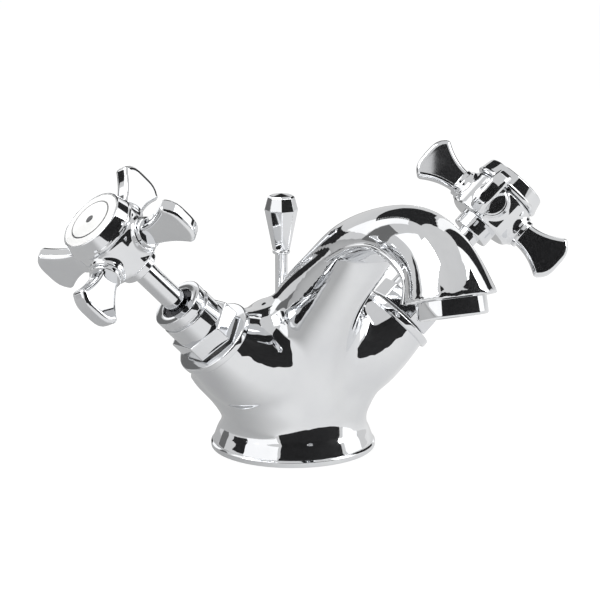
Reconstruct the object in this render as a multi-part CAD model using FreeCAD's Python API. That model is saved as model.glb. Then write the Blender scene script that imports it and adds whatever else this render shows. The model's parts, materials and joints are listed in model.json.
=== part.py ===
# Two-handle monobloc basin mixer with a hooded spout and a pop-up waste lift knob.
# Millimetres, +Z up, spout towards -Y, hot valve on -X, cold valve on +X.
# The origin is the centre of the base's underside, on the deck.
import FreeCAD
import Part
import math
import os
from FreeCAD import Vector

# Base on the deck
BASE_DIAMETER = 58.0
BASE_LIP_HEIGHT = 2.4
BASE_LIP_ROUND = 1.0
BASE_LIP_SETBACK = 0.6
COLLAR_BULGE = 0.5
NECK_DIAMETER = 48.0
NECK_HEIGHT = 11.5
NECK_OVERLAP = 2.0
BASE_SEAL_OUTER = 53.0
BASE_SEAL_INNER = 47.0
BASE_SEAL_HEIGHT = 1.6

# Valve arms: their axes rise from one point and lean out and slightly forward
ARM_TILT = 45.0
ARM_SWEEP = 6.0
AXIS_START_Y = -7.0
AXIS_START_Z = 10.0
ARM_LENGTH = 50.5
ARM_END_DIAMETER = 26.0
ARM_FLANGE_DIAMETER = 28.8
ARM_FLANGE_THICKNESS = 2.6
YOKE_Y = -3.5
YOKE_HEIGHT = 33.0
YOKE_DIAMETER = 43.0
FLARE_Y = -1.2
FLARE_TOP_HEIGHT = 29.0
FLARE_ROOT_DIAMETER = 50.4
FLARE_TOP_WIDTH = 78.0

# Hooded spout, in the plane of symmetry
OUTLET_REACH = 111.0
OUTLET_HEIGHT = 76.5
OUTLET_LEAN = 17.0
BELL_DIAMETER = 28.8
HOOD_WIDTH = 28.0
HOOD_PEAK_HEIGHT = 100.5
HOOD_PEAK_REACH = 83.0
HOOD_TAIL_Y = 20.0
HOOD_TAIL_HEIGHT = 42.0
HOOD_CROWN = 12.0
HOOD_BELLY = 5.0
SPOUT_WATERWAY_DIAMETER = 9.0
WATERWAY_RAISE = 2.5
MIXING_CHAMBER_DIAMETER = 11.0
TRUNK_ROOT_INSET = 0.4
TRUNK_TOP_SINK = 9.0
TRUNK_TOP_LEAD = 4.0

# Inlets, fixing stud and lift rod in the underside
INLET_THREAD_DIAMETER = 10.0
INLET_THREAD_DEPTH = 12.0
PORT_DIAMETER = 6.5
PORT_LENGTH = 4.0
PORT_OVERLAP = 1.0
INLET_SPACING = 20.0
INLET_Y = -3.0
STUD_THREAD_DIAMETER = 8.0
STUD_THREAD_DEPTH = 9.0
STUD_Y = -16.0
ROD_Y = 9.5

# Headgear screwed into each arm, measured along the valve axis
HEADGEAR_THREAD_DIAMETER = 18.0
HEADGEAR_THREAD_LENGTH = 12.0
HEADGEAR_WASHER_DIAMETER = 20.4
HEADGEAR_WASHER_THICKNESS = 0.8
HEX_ACROSS_FLATS = 20.5
HEX_CORNER_TRIM = 0.25
HEX_HEIGHT = 6.7
BARREL_DIAMETER = 19.0
BARREL_HEIGHT = 7.0
GROOVE_DEPTH = 1.0
GROOVE_HEIGHT = 1.3
RIM_DIAMETER = 18.8
RIM_HEIGHT = 3.2
CUP_DIAMETER = 14.0
CUP_DEPTH = 2.2
SKIRT_DIAMETER = 15.6
SKIRT_LENGTH = 12.0
SKIRT_WINDOW_HEIGHT = 4.0
SKIRT_WINDOW_WIDTH = 7.0
SKIRT_WINDOW_LAND = 1.0

# Ceramic discs, spindle and its seals
DISC_DIAMETER = 13.0
DISC_THICKNESS = 3.0
DISC_PORT_DIAMETER = 4.2
DISC_PORT_RADIUS = 3.6
DISC_RADIAL_CLEARANCE = 0.3
DISC_FACE_GAP = 0.05
DISC_CLOSED_TURN = 90.0
SEAT_SEAL_HEIGHT = 2.0
SEAT_SEAL_BORE = 9.0
SPINDLE_DIAMETER = 8.0
SPINDLE_FOOT_DIAMETER = 12.4
SPINDLE_FOOT_HEIGHT = 3.0
SPINDLE_SLOT_WIDTH = 4.6
SPINDLE_SLOT_DEPTH = 2.0
SPINDLE_EXPOSED = 19.5
SPINDLE_SPLINE_DIAMETER = 7.4
SPINDLE_SPLINE_LENGTH = 9.0
SPINDLE_BORE_CLEARANCE = 0.06
SHOULDER_GAP = 0.2
ORING_SECTION = 1.3
ORING_SPACING = 4.0
CLIP_DIAMETER = 11.6
CLIP_THICKNESS = 0.9
CLIP_GROOVE_DEPTH = 0.5
CLIP_MOUTH = 4.0
CLIP_LIFT = 0.3

# Crosshead handle
BOSS_DIAMETER = 14.0
BOSS_HEIGHT = 4.8
HUB_DIAMETER = 24.0
HUB_HEIGHT = 14.4
HUB_EDGE_ROUND = 1.6
SOCKET_BOSS_DIAMETER = 11.6
SOCKET_BOSS_REACH = 13.4
LOBE_COUNT = 4
LOBE_CLOCK = 34.0
LOBE_COLLAR_DIAMETER = 10.6
LOBE_COLLAR_THICKNESS = 1.5
LOBE_SPIGOT_DIAMETER = 5.0
LOBE_SPIGOT_LENGTH = 4.0
LOBE_TIP_RADIUS = 31.0
LOBE_TIP_WIDTH = 17.0
LOBE_ROOT_WIDTH = 8.6
LOBE_TIP_CROWN = 1.8
LOBE_WAIST = 1.0
LOBE_THICKNESS = 5.6
LOBE_EDGE_ROUND = 1.4
HANDLE_SCREW_DIAMETER = 4.0
HANDLE_SCREW_LENGTH = 12.0
HANDLE_SCREW_RUNOUT = 1.0
HANDLE_SCREW_HEAD_DIAMETER = 7.0
HANDLE_SCREW_HEAD_HEIGHT = 2.6
HUB_POCKET_DIAMETER = 16.0
HUB_POCKET_DEPTH = 5.0
SCREW_SLOT_WIDTH = 1.2
SCREW_SLOT_DEPTH = 1.2

# Index cap on top of each handle
BEZEL_DIAMETER = 25.4
BEZEL_TOP_DIAMETER = 22.8
BEZEL_HEIGHT = 6.0
BEZEL_SPIGOT_LENGTH = 2.2
BEZEL_BORE = 11.0
BEZEL_BULGE = 0.6
INDEX_DIAMETER = 21.4
INDEX_THICKNESS = 2.4
INDEX_CROWN = 0.5
SEAT_CLEARANCE = 0.05

# Aerator in the bell
AERATOR_DIAMETER = 22.0
AERATOR_SHOW = 5.8
AERATOR_THREAD_DIAMETER = 19.0
AERATOR_THREAD_LENGTH = 6.0
AERATOR_EDGE_ROUND = 0.8
AERATOR_WALL = 1.6
AERATOR_LIP = 1.2
AERATOR_WASHER_THICKNESS = 1.5
AERATOR_WATERWAY_DIAMETER = 11.0
INSERT_THICKNESS = 4.0
INSERT_HOLE_DIAMETER = 1.5
INSERT_HOLE_PITCH = 3.0

# Lift rod and knob
ROD_DIAMETER = 4.4
ROD_CLEARANCE = 0.1
ROD_PASSAGE_CLEARANCE = 0.3
ROD_STOP_DIAMETER = 6.6
ROD_STOP_HEIGHT = 3.0
ROD_FOOT_HEIGHT = 10.0
BUSH_DIAMETER = 8.6
BUSH_LENGTH = 9.0
BUSH_TOP_HEIGHT = 44.0
KNOB_FOOT_HEIGHT = 67.3
KNOB_FERRULE_DIAMETER = 6.2
KNOB_FERRULE_HEIGHT = 2.0
KNOB_WIDTH = 11.8
KNOB_TAPER_HEIGHT = 13.6
KNOB_CROWN_WIDTH = 9.6
KNOB_CROWN_HEIGHT = 4.2
KNOB_DOME_HEIGHT = 1.2
KNOB_SOCKET_DEPTH = 8.0
KNOB_FACETS = 8

UP = Vector(0, 0, 1)
SIDES = {"hot": -1, "cold": 1}

# Stations along the valve axis, worked out from the heights above
WASHER_FACE = ARM_LENGTH + HEADGEAR_WASHER_THICKNESS
HEX_TOP = WASHER_FACE + HEX_HEIGHT
BARREL_TOP = HEX_TOP + BARREL_HEIGHT
GROOVE_TOP = BARREL_TOP + GROOVE_HEIGHT
RIM_TOP = GROOVE_TOP + RIM_HEIGHT
CUP_FLOOR = RIM_TOP - CUP_DEPTH
THREAD_END = ARM_LENGTH - HEADGEAR_THREAD_LENGTH
SKIRT_END = THREAD_END - SKIRT_LENGTH
WINDOW_FOOT = THREAD_END - SKIRT_WINDOW_LAND - SKIRT_WINDOW_HEIGHT
SEAL_TOP = SKIRT_END + SEAT_SEAL_HEIGHT
FIXED_DISC_TOP = SEAL_TOP + DISC_THICKNESS
MOVING_DISC_FOOT = FIXED_DISC_TOP + DISC_FACE_GAP
MOVING_DISC_TOP = MOVING_DISC_FOOT + DISC_THICKNESS
SPINDLE_FOOT_TOP = MOVING_DISC_TOP + SPINDLE_FOOT_HEIGHT
SHOULDER = SPINDLE_FOOT_TOP + SHOULDER_GAP
BOSS_FOOT = RIM_TOP + SPINDLE_EXPOSED
HUB_FOOT = BOSS_FOOT + BOSS_HEIGHT
HUB_TOP = HUB_FOOT + HUB_HEIGHT
LOBE_PLANE = HUB_FOOT + HUB_HEIGHT / 2
POCKET_FLOOR = HUB_TOP - HUB_POCKET_DEPTH
SPINDLE_TOP = BOSS_FOOT + SPINDLE_SPLINE_LENGTH
SPINDLE_BORE = SPINDLE_DIAMETER + 2 * SPINDLE_BORE_CLEARANCE
DISC_CHAMBER = DISC_DIAMETER + 2 * DISC_RADIAL_CLEARANCE
BEZEL_TOP = HUB_TOP + BEZEL_HEIGHT
INDEX_FOOT = BEZEL_TOP - INDEX_THICKNESS


def rod_between(start, end, diameter):
    """Cylinder from one point to another."""
    line = end - start
    return Part.makeCylinder(diameter / 2, line.Length, start, line)


def disc(diameter, foot, top):
    """Cylinder on the local axis between two stations."""
    return Part.makeCylinder(diameter / 2, top - foot, Vector(0, 0, foot))


def ring(outer, inner, foot, top):
    """Washer on the local axis between two stations."""
    return disc(outer, foot, top).cut(disc(inner, foot, top))


def revolve_profile(edges):
    """Solid of revolution about Z from edges that close on themselves in the XZ plane."""
    face = Part.Face(Part.Wire(edges))
    return face.revolve(Vector(0, 0, 0), UP, 360)


def polyline(points):
    """Straight edges through (radius, height) points."""
    places = [Vector(radius, 0, height) for radius, height in points]
    return [Part.LineSegment(a, b).toShape() for a, b in zip(places, places[1:])]


def arc_through(first, middle, last):
    """Arc edge through three (radius, height) points."""
    places = [Vector(radius, 0, height) for radius, height in (first, middle, last)]
    return Part.Arc(*places).toShape()


def prism(corners, width, foot, top):
    """Regular prism on the local axis, width across flats."""
    radius = width / 2 / math.cos(math.pi / corners)
    turns = [2 * math.pi * (k + 0.5) / corners for k in range(corners + 1)]
    points = [Vector(radius * math.cos(t), radius * math.sin(t), foot) for t in turns]
    return Part.Face(Part.makePolygon(points)).extrude(Vector(0, 0, top - foot))


def cap_ball(edge_radius, cap_height, top):
    """Ball whose cap of the given edge radius and height ends at the top station."""
    radius = (edge_radius ** 2 + cap_height ** 2) / (2 * cap_height)
    return Part.makeSphere(radius, Vector(0, 0, top - radius))


def around(shape, angle):
    """Copy of a shape turned about the local axis."""
    turned = shape.copy()
    turned.rotate(Vector(0, 0, 0), UP, angle)
    return turned


def joined(shapes):
    """One clean solid from overlapping shapes."""
    return shapes[0].multiFuse(shapes[1:]).removeSplitter()


# Valve axes
def valve_direction(side):
    """Unit vector along a valve's axis, away from the body."""
    tilt = math.radians(ARM_TILT)
    sweep = math.radians(ARM_SWEEP)
    flat = math.cos(tilt)
    return Vector(side * flat * math.cos(sweep), -flat * math.sin(sweep), math.sin(tilt))


def on_axis(side, station):
    """Point on a valve's axis."""
    return Vector(0, AXIS_START_Y, AXIS_START_Z) + valve_direction(side) * station


def on_valve(shape, side):
    """Shape moved from the local axis to a valve's axis; local X stays level."""
    z_axis = valve_direction(side)
    x_axis = UP.cross(z_axis)
    x_axis.normalize()
    placement = FreeCAD.Placement(
        on_axis(side, 0), FreeCAD.Rotation(x_axis, z_axis.cross(x_axis), z_axis, "ZXY"))
    placed = shape.copy()
    placed.Placement = placement.multiply(placed.Placement)
    return placed


# Spout section frame: travel angle is measured up from the forward direction
def spout_frame(angle):
    """Forward travel and outward normal of a spout section."""
    turn = math.radians(angle)
    travel = Vector(0, -math.cos(turn), math.sin(turn))
    normal = Vector(0, math.sin(turn), math.cos(turn))
    return travel, normal


OUTLET_CENTRE = Vector(0, -OUTLET_REACH, OUTLET_HEIGHT)
OUTLET_ANGLE = OUTLET_LEAN - 90.0
OUTLET_FLOW = spout_frame(OUTLET_ANGLE)[0]


def at_outlet(shape):
    """Shape moved from the local axis to the outlet, local +Z along the flow."""
    flow = OUTLET_FLOW
    x_axis = Vector(1, 0, 0)
    placement = FreeCAD.Placement(
        OUTLET_CENTRE, FreeCAD.Rotation(x_axis, flow.cross(x_axis), flow, "ZXY"))
    placed = shape.copy()
    placed.Placement = placement.multiply(placed.Placement)
    return placed


def oval(centre, across, along, half_width, front, back):
    """Closed smooth section: half_width to both sides, front and back along the second axis."""
    count = 16
    points = []
    for k in range(count):
        turn = 2 * math.pi * k / count
        depth = front if math.sin(turn) >= 0 else back
        points.append(centre + across * (half_width * math.cos(turn)) + along * (depth * math.sin(turn)))
    curve = Part.BSplineCurve()
    curve.interpolate(Points=points, PeriodicFlag=True)
    return Part.Wire(curve.toShape())


def smooth_loft(sections):
    """Solid through closed sections, kept to a low degree so that it fuses well."""
    return Part.makeLoft(sections, True, False, False, 3)


# Body casting
def base_flange():
    """Round foot with a lip, drawn in to the neck."""
    lip = BASE_DIAMETER / 2
    neck = NECK_DIAMETER / 2
    edges = polyline([(0, NECK_HEIGHT), (0, 0), (lip - BASE_LIP_ROUND, 0)])
    bend = BASE_LIP_ROUND * (1 - math.sqrt(0.5))
    edges.append(arc_through((lip - BASE_LIP_ROUND, 0), (lip - bend, bend), (lip, BASE_LIP_ROUND)))
    shoulder = (lip - BASE_LIP_SETBACK, BASE_LIP_HEIGHT)
    edges += polyline([(lip, BASE_LIP_ROUND), shoulder])
    middle = ((shoulder[0] + neck) / 2 + COLLAR_BULGE, (BASE_LIP_HEIGHT + NECK_HEIGHT) / 2)
    edges.append(arc_through(shoulder, middle, (neck, NECK_HEIGHT)))
    edges += polyline([(neck, NECK_HEIGHT), (0, NECK_HEIGHT)])
    return revolve_profile(edges)


def arm_flange(side):
    """Flange at the end of a valve arm."""
    return on_valve(disc(ARM_FLANGE_DIAMETER, ARM_LENGTH - ARM_FLANGE_THICKNESS, ARM_LENGTH), side)


# Each yoke section, from the middle to an arm's end: run, rise, sweep, lean and narrowing
YOKE = (
    (0.0, 0.0, 0.0, 0.0, 0.0),
    (0.36, 0.08, 0.15, 0.15, 0.06),
    (0.68, 0.36, 0.5, 0.6, 0.44),
    (1.0, 1.0, 1.0, 1.0, 1.0),
)


def yoke():
    """Both valve arms and the shoulder between them, as one bar that bends up to each flange."""
    middle = Vector(0, YOKE_Y, YOKE_HEIGHT)
    rows = [(-1, row) for row in YOKE[:0:-1]] + [(1, row) for row in YOKE]
    sections = []
    for side, (run, rise, sweep, lean, narrowing) in rows:
        way = on_axis(side, ARM_LENGTH - ARM_FLANGE_THICKNESS) - middle
        centre = middle + Vector(way.x * run, way.y * sweep, way.z * rise)
        heading = Vector(1 - lean, 0, 0) + valve_direction(side) * (side * lean)
        heading.normalize()
        along = UP - heading * UP.dot(heading)
        along.normalize()
        radius = (YOKE_DIAMETER + (ARM_END_DIAMETER - YOKE_DIAMETER) * narrowing) / 2
        sections.append(oval(centre, along.cross(heading), along, radius, radius, radius))
    return smooth_loft(sections)


# Each hood section: run and rise from tail to peak, travel angle, shares of the hood's width and crown
HOOD_BACK = (
    (0.0, 0.0, 50.0, 0.36, 1.1),
    (0.146, 0.29, 40.0, 0.42, 1.15),
    (0.34, 0.525, 34.0, 0.5, 1.15),
    (0.544, 0.745, 27.0, 0.65, 1.08),
    (0.777, 0.91, 17.0, 0.83, 1.0),
    (1.0, 1.0, 4.0, 0.893, 1.0),
)
# The same from peak to the front of the rim, with shares of the belly too
HOOD_FRONT = (
    (0.48, 0.1, -24.0, 0.857, 1.083, 1.2),
    (0.79, 0.48, -52.0, 0.893, 1.083, 1.8),
)


def hood_stations():
    """Ridge point, travel angle, half width, crown and belly of every hood section."""
    half = HOOD_WIDTH / 2
    bell = BELL_DIAMETER / 2
    tail = Vector(0, HOOD_TAIL_Y, HOOD_TAIL_HEIGHT)
    peak = Vector(0, -HOOD_PEAK_REACH, HOOD_PEAK_HEIGHT)
    rim = OUTLET_CENTRE + spout_frame(OUTLET_ANGLE)[1] * bell
    rows = []
    for run, rise, angle, width, crown in HOOD_BACK:
        way = peak - tail
        ridge = tail + Vector(0, way.y * run, way.z * rise)
        rows.append((ridge, angle, half * width, HOOD_CROWN * crown, HOOD_BELLY))
    for run, rise, angle, width, crown, belly in HOOD_FRONT:
        way = rim - peak
        ridge = peak + Vector(0, way.y * run, way.z * rise)
        rows.append((ridge, angle, half * width, HOOD_CROWN * crown, HOOD_BELLY * belly))
    rows.append((rim, OUTLET_ANGLE, bell, bell, bell))
    return rows


def hood():
    """Hood from the back of the body over the peak to the bell."""
    sections = []
    for ridge, angle, half_width, crown, belly in hood_stations():
        normal = spout_frame(angle)[1]
        sections.append(oval(ridge - normal * crown, Vector(1, 0, 0), normal, half_width, crown, belly))
    return smooth_loft(sections)


BODY_FOOT = NECK_HEIGHT - NECK_OVERLAP
# Each flare section, from the neck up: rise, spread and depth
FLARE = (
    (0.0, 0.0, 0.93),
    (0.18, 0.1, 0.93),
    (0.38, 0.28, 0.93),
    (0.6, 0.54, 0.91),
    (0.8, 0.8, 0.85),
    (1.0, 1.0, 0.7),
)


def flare():
    """Body between the neck and the arms, spread towards both sides as it rises."""
    sections = []
    for rise, spread, depth in FLARE:
        half_width = (FLARE_ROOT_DIAMETER + (FLARE_TOP_WIDTH - FLARE_ROOT_DIAMETER) * spread) / 2
        half_depth = FLARE_ROOT_DIAMETER / 2 * depth
        centre = Vector(0, FLARE_Y, BODY_FOOT + (FLARE_TOP_HEIGHT - BODY_FOOT) * rise)
        sections.append(oval(centre, Vector(1, 0, 0), Vector(0, -1, 0), half_width, half_depth, half_depth))
    return smooth_loft(sections)


# Each trunk section: run, rise, lean, narrowing from neck to hood, front and back as shares of the neck
TRUNK = (
    (0.0, 0.0, 0.0, 0.0, 1.0, 1.0),
    (0.076, 0.21, 12.0, 0.27, 0.89, 0.932),
    (0.197, 0.437, 30.0, 0.8, 0.72, 0.847),
    (0.455, 0.665, 42.0, 1.26, 0.508, 0.636),
    (0.788, 0.892, 62.0, 1.36, 0.403, 0.339),
    (1.0, 1.0, 78.0, 1.62, 0.212, 0.127),
)


def trunk():
    """Central column that leans forward from the neck up into the hood."""
    neck = NECK_DIAMETER / 2 - TRUNK_ROOT_INSET
    half = HOOD_WIDTH / 2
    # The column ends under the last hood section behind the peak
    ridge, angle = hood_stations()[len(HOOD_BACK) - 2][:2]
    travel, normal = spout_frame(angle)
    foot = Vector(0, 0, BODY_FOOT)
    way = ridge - normal * TRUNK_TOP_SINK + travel * TRUNK_TOP_LEAD - foot
    sections = []
    for run, rise, lean, narrowing, front, back in TRUNK:
        centre = foot + Vector(0, way.y * run, way.z * rise)
        turn = math.radians(lean)
        along = Vector(0, -math.cos(turn), -math.sin(turn))
        half_width = neck + (half - neck) * narrowing
        sections.append(oval(centre, Vector(1, 0, 0), along, half_width, neck * front, neck * back))
    return smooth_loft(sections)


def waterways():
    """Everything bored out of the casting."""
    cuts = [ring(BASE_SEAL_OUTER, BASE_SEAL_INNER, 0, BASE_SEAL_HEIGHT)]
    cuts.append(Part.makeCylinder(STUD_THREAD_DIAMETER / 2, STUD_THREAD_DEPTH, Vector(0, STUD_Y, 0)))
    stations = hood_stations()
    route = []
    for ridge, angle, half_width, crown, belly in stations[len(HOOD_BACK) - 3:-1]:
        route.append(ridge - spout_frame(angle)[1] * (crown - WATERWAY_RAISE))
    mixing = (route[0] + on_axis(1, SKIRT_END) + on_axis(-1, SKIRT_END)) * (1 / 3)
    route = [mixing] + route + [OUTLET_CENTRE]
    curve = Part.BSplineCurve()
    curve.interpolate(Points=route)
    mouth = Part.Wire(Part.makeCircle(SPOUT_WATERWAY_DIAMETER / 2, mixing, route[1] - mixing))
    cuts.append(Part.Wire(curve.toShape()).makePipeShell([mouth], True, False))
    cuts.append(Part.makeSphere(MIXING_CHAMBER_DIAMETER / 2, mixing))
    for side in SIDES.values():
        inlet = Vector(side * INLET_SPACING / 2, INLET_Y, 0)
        cuts.append(Part.makeCylinder(INLET_THREAD_DIAMETER / 2, INLET_THREAD_DEPTH, inlet))
        port_foot = on_axis(side, SKIRT_END - PORT_LENGTH)
        cuts.append(rod_between(inlet + UP * (INLET_THREAD_DEPTH - PORT_OVERLAP), port_foot, PORT_DIAMETER))
        cuts.append(rod_between(port_foot, on_axis(side, SKIRT_END), PORT_DIAMETER))
        cuts.append(rod_between(on_axis(side, WINDOW_FOOT), mixing, PORT_DIAMETER))
        bore = HEADGEAR_THREAD_DIAMETER + 2 * SEAT_CLEARANCE
        cuts.append(on_valve(disc(bore, SKIRT_END, ARM_LENGTH), side))
    thread = AERATOR_THREAD_DIAMETER + 2 * SEAT_CLEARANCE
    depth = AERATOR_THREAD_LENGTH + AERATOR_WASHER_THICKNESS
    cuts.append(at_outlet(disc(thread, -depth, 0)))
    rod_line = Vector(0, ROD_Y, 0)
    bush = BUSH_DIAMETER + 2 * SEAT_CLEARANCE
    cuts.append(Part.makeCylinder(bush / 2, BUSH_TOP_HEIGHT, rod_line))
    passage = ROD_DIAMETER + 2 * ROD_PASSAGE_CLEARANCE
    cuts.append(rod_between(rod_line + UP * BUSH_TOP_HEIGHT, rod_line + UP * KNOB_FOOT_HEIGHT, passage))
    return cuts


def mixer_body():
    """One casting: foot, column, two arms and hooded spout, fused in turn and bored out."""
    solid = base_flange()
    for limb in (trunk(), flare(), yoke(), hood(), arm_flange(-1), arm_flange(1)):
        solid = solid.fuse(limb)
    for bore in waterways():
        solid = solid.cut(bore)
    return solid


def base_seal():
    """Flat ring between the foot and the deck."""
    outer = BASE_SEAL_OUTER - 2 * SEAT_CLEARANCE
    return ring(outer, BASE_SEAL_INNER + 2 * SEAT_CLEARANCE, 0, BASE_SEAL_HEIGHT)


# Headgear and valve, on the local axis
def headgear():
    """Screwed valve body: windowed skirt, thread, hexagon, barrel, groove and cupped rim."""
    hexagon = prism(6, HEX_ACROSS_FLATS, WASHER_FACE, HEX_TOP)
    corner = HEX_ACROSS_FLATS / math.cos(math.pi / 6) - 2 * HEX_CORNER_TRIM
    hexagon = hexagon.common(disc(corner, WASHER_FACE, HEX_TOP))
    solid = joined([
        disc(SKIRT_DIAMETER, SKIRT_END, THREAD_END),
        disc(HEADGEAR_THREAD_DIAMETER, THREAD_END, WASHER_FACE),
        hexagon,
        disc(BARREL_DIAMETER, HEX_TOP, BARREL_TOP),
        disc(BARREL_DIAMETER - 2 * GROOVE_DEPTH, BARREL_TOP, GROOVE_TOP),
        disc(RIM_DIAMETER, GROOVE_TOP, RIM_TOP),
    ])
    window = Part.makeBox(SKIRT_WINDOW_WIDTH, 2 * SKIRT_DIAMETER, SKIRT_WINDOW_HEIGHT,
                          Vector(-SKIRT_WINDOW_WIDTH / 2, -SKIRT_DIAMETER, WINDOW_FOOT))
    return solid.cut([
        disc(CUP_DIAMETER, CUP_FLOOR, RIM_TOP),
        disc(SPINDLE_BORE, SHOULDER, CUP_FLOOR),
        disc(DISC_CHAMBER, SKIRT_END, SHOULDER),
        window,
    ])


def headgear_washer():
    """Washer between the hexagon and the arm's flange."""
    bore = HEADGEAR_THREAD_DIAMETER + 2 * SEAT_CLEARANCE
    return ring(HEADGEAR_WASHER_DIAMETER, bore, ARM_LENGTH, WASHER_FACE)


def ported_disc(foot):
    """Ceramic disc with two ports."""
    solid = disc(DISC_DIAMETER, foot, foot + DISC_THICKNESS)
    port = Part.makeCylinder(DISC_PORT_DIAMETER / 2, DISC_THICKNESS, Vector(DISC_PORT_RADIUS, 0, foot))
    return solid.cut([port, around(port, 180)])


def seat_seal():
    """Rubber seat under the fixed disc."""
    return ring(DISC_DIAMETER, SEAT_SEAL_BORE, SKIRT_END, SEAL_TOP)


ORING_STATIONS = (HEX_TOP, HEX_TOP + ORING_SPACING)
ORING_GROOVE = SPINDLE_DIAMETER - 2 * ORING_SECTION
CLIP_FOOT = CUP_FLOOR + CLIP_LIFT


def spindle():
    """Spindle: slotted driving foot, grooved stem and splined top with a tapped hole."""
    solid = joined([
        disc(SPINDLE_FOOT_DIAMETER, MOVING_DISC_TOP, SPINDLE_FOOT_TOP),
        disc(SPINDLE_DIAMETER, SPINDLE_FOOT_TOP, BOSS_FOOT),
        disc(SPINDLE_SPLINE_DIAMETER, BOSS_FOOT, SPINDLE_TOP),
    ])
    cuts = []
    for station in ORING_STATIONS:
        half = ORING_SECTION / 2 + SEAT_CLEARANCE
        cuts.append(ring(SPINDLE_DIAMETER, ORING_GROOVE, station - half, station + half))
    clip_floor = SPINDLE_DIAMETER - 2 * CLIP_GROOVE_DEPTH
    cuts.append(ring(SPINDLE_DIAMETER, clip_floor, CLIP_FOOT, CLIP_FOOT + CLIP_THICKNESS))
    tapped = POCKET_FLOOR - HANDLE_SCREW_LENGTH - HANDLE_SCREW_RUNOUT
    cuts.append(disc(HANDLE_SCREW_DIAMETER, tapped, SPINDLE_TOP))
    slot = Part.makeBox(2 * SPINDLE_FOOT_DIAMETER, SPINDLE_SLOT_WIDTH, SPINDLE_SLOT_DEPTH,
                        Vector(-SPINDLE_FOOT_DIAMETER, -SPINDLE_SLOT_WIDTH / 2, MOVING_DISC_TOP))
    cuts.append(around(slot, DISC_CLOSED_TURN))
    return solid.cut(cuts)


def spindle_orings():
    """Two O-rings in the spindle's grooves."""
    middle = (SPINDLE_DIAMETER - ORING_SECTION) / 2
    tube = ORING_SECTION / 2
    return Part.makeCompound([Part.makeTorus(middle, tube, Vector(0, 0, s)) for s in ORING_STATIONS])


def spindle_clip():
    """Open retaining clip at the foot of the cup."""
    bore = SPINDLE_DIAMETER - 2 * CLIP_GROOVE_DEPTH + 2 * SEAT_CLEARANCE
    solid = ring(CLIP_DIAMETER, bore, CLIP_FOOT, CLIP_FOOT + CLIP_THICKNESS)
    mouth = Part.makeBox(CLIP_DIAMETER, CLIP_MOUTH, CLIP_THICKNESS,
                         Vector(0, -CLIP_MOUTH / 2, CLIP_FOOT))
    return solid.cut(mouth)


# Crosshead handle, on the local axis
def lobe_turns():
    """Angles of the lobes about the handle's axis."""
    return [360.0 * k / LOBE_COUNT for k in range(LOBE_COUNT)]


def radial(diameter, start, end):
    """Cylinder along local X at the height of the lobes."""
    return rod_between(Vector(start, 0, LOBE_PLANE), Vector(end, 0, LOBE_PLANE), diameter)


def handle_hub():
    """Hub with its lower boss and a socket boss for each lobe."""
    drum = disc(HUB_DIAMETER, HUB_FOOT, HUB_TOP)
    drum = drum.makeFillet(HUB_EDGE_ROUND, [e for e in drum.Edges if e.Closed])
    boss = radial(SOCKET_BOSS_DIAMETER, 0, SOCKET_BOSS_REACH)
    solid = joined([drum, disc(BOSS_DIAMETER, BOSS_FOOT, LOBE_PLANE)]
                   + [around(boss, turn) for turn in lobe_turns()])
    socket_floor = SOCKET_BOSS_REACH - LOBE_SPIGOT_LENGTH - 2 * SEAT_CLEARANCE
    socket = radial(LOBE_SPIGOT_DIAMETER + 2 * SEAT_CLEARANCE, socket_floor, SOCKET_BOSS_REACH)
    cuts = [around(socket, turn) for turn in lobe_turns()]
    cuts.append(disc(SPINDLE_SPLINE_DIAMETER + 2 * SEAT_CLEARANCE, BOSS_FOOT, SPINDLE_TOP + SEAT_CLEARANCE))
    cuts.append(disc(HANDLE_SCREW_DIAMETER + 2 * SEAT_CLEARANCE, BOSS_FOOT, POCKET_FLOOR))
    cuts.append(disc(HUB_POCKET_DIAMETER, POCKET_FLOOR, HUB_TOP))
    return solid.cut(cuts)


def lobe():
    """One lobe: a flat fan, wide along the axis, with a collar and a spigot."""
    root = SOCKET_BOSS_REACH + SEAT_CLEARANCE
    tip = LOBE_TIP_RADIUS - LOBE_TIP_CROWN
    low = LOBE_PLANE - LOBE_ROOT_WIDTH / 2
    high = LOBE_PLANE + LOBE_ROOT_WIDTH / 2
    tip_low = LOBE_PLANE - LOBE_TIP_WIDTH / 2
    tip_high = LOBE_PLANE + LOBE_TIP_WIDTH / 2
    middle = (root + tip) / 2
    edges = polyline([(root, high), (root, low)])
    edges.append(arc_through((root, low), (middle, (low + tip_low) / 2 + LOBE_WAIST), (tip, tip_low)))
    edges.append(arc_through((tip, tip_low), (LOBE_TIP_RADIUS, LOBE_PLANE), (tip, tip_high)))
    edges.append(arc_through((tip, tip_high), (middle, (high + tip_high) / 2 - LOBE_WAIST), (root, high)))
    face = Part.Face(Part.Wire(edges))
    face.translate(Vector(0, -LOBE_THICKNESS / 2, 0))
    fan = face.extrude(Vector(0, LOBE_THICKNESS, 0))
    fan = fan.makeFillet(LOBE_EDGE_ROUND, fan.Edges)
    collar = radial(LOBE_COLLAR_DIAMETER, SOCKET_BOSS_REACH, SOCKET_BOSS_REACH + LOBE_COLLAR_THICKNESS)
    spigot = radial(LOBE_SPIGOT_DIAMETER, SOCKET_BOSS_REACH - LOBE_SPIGOT_LENGTH, SOCKET_BOSS_REACH)
    return joined([collar, spigot, fan])


def handle_lobes():
    """The four lobes of one handle."""
    single = lobe()
    return Part.makeCompound([around(single, turn) for turn in lobe_turns()])


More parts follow.
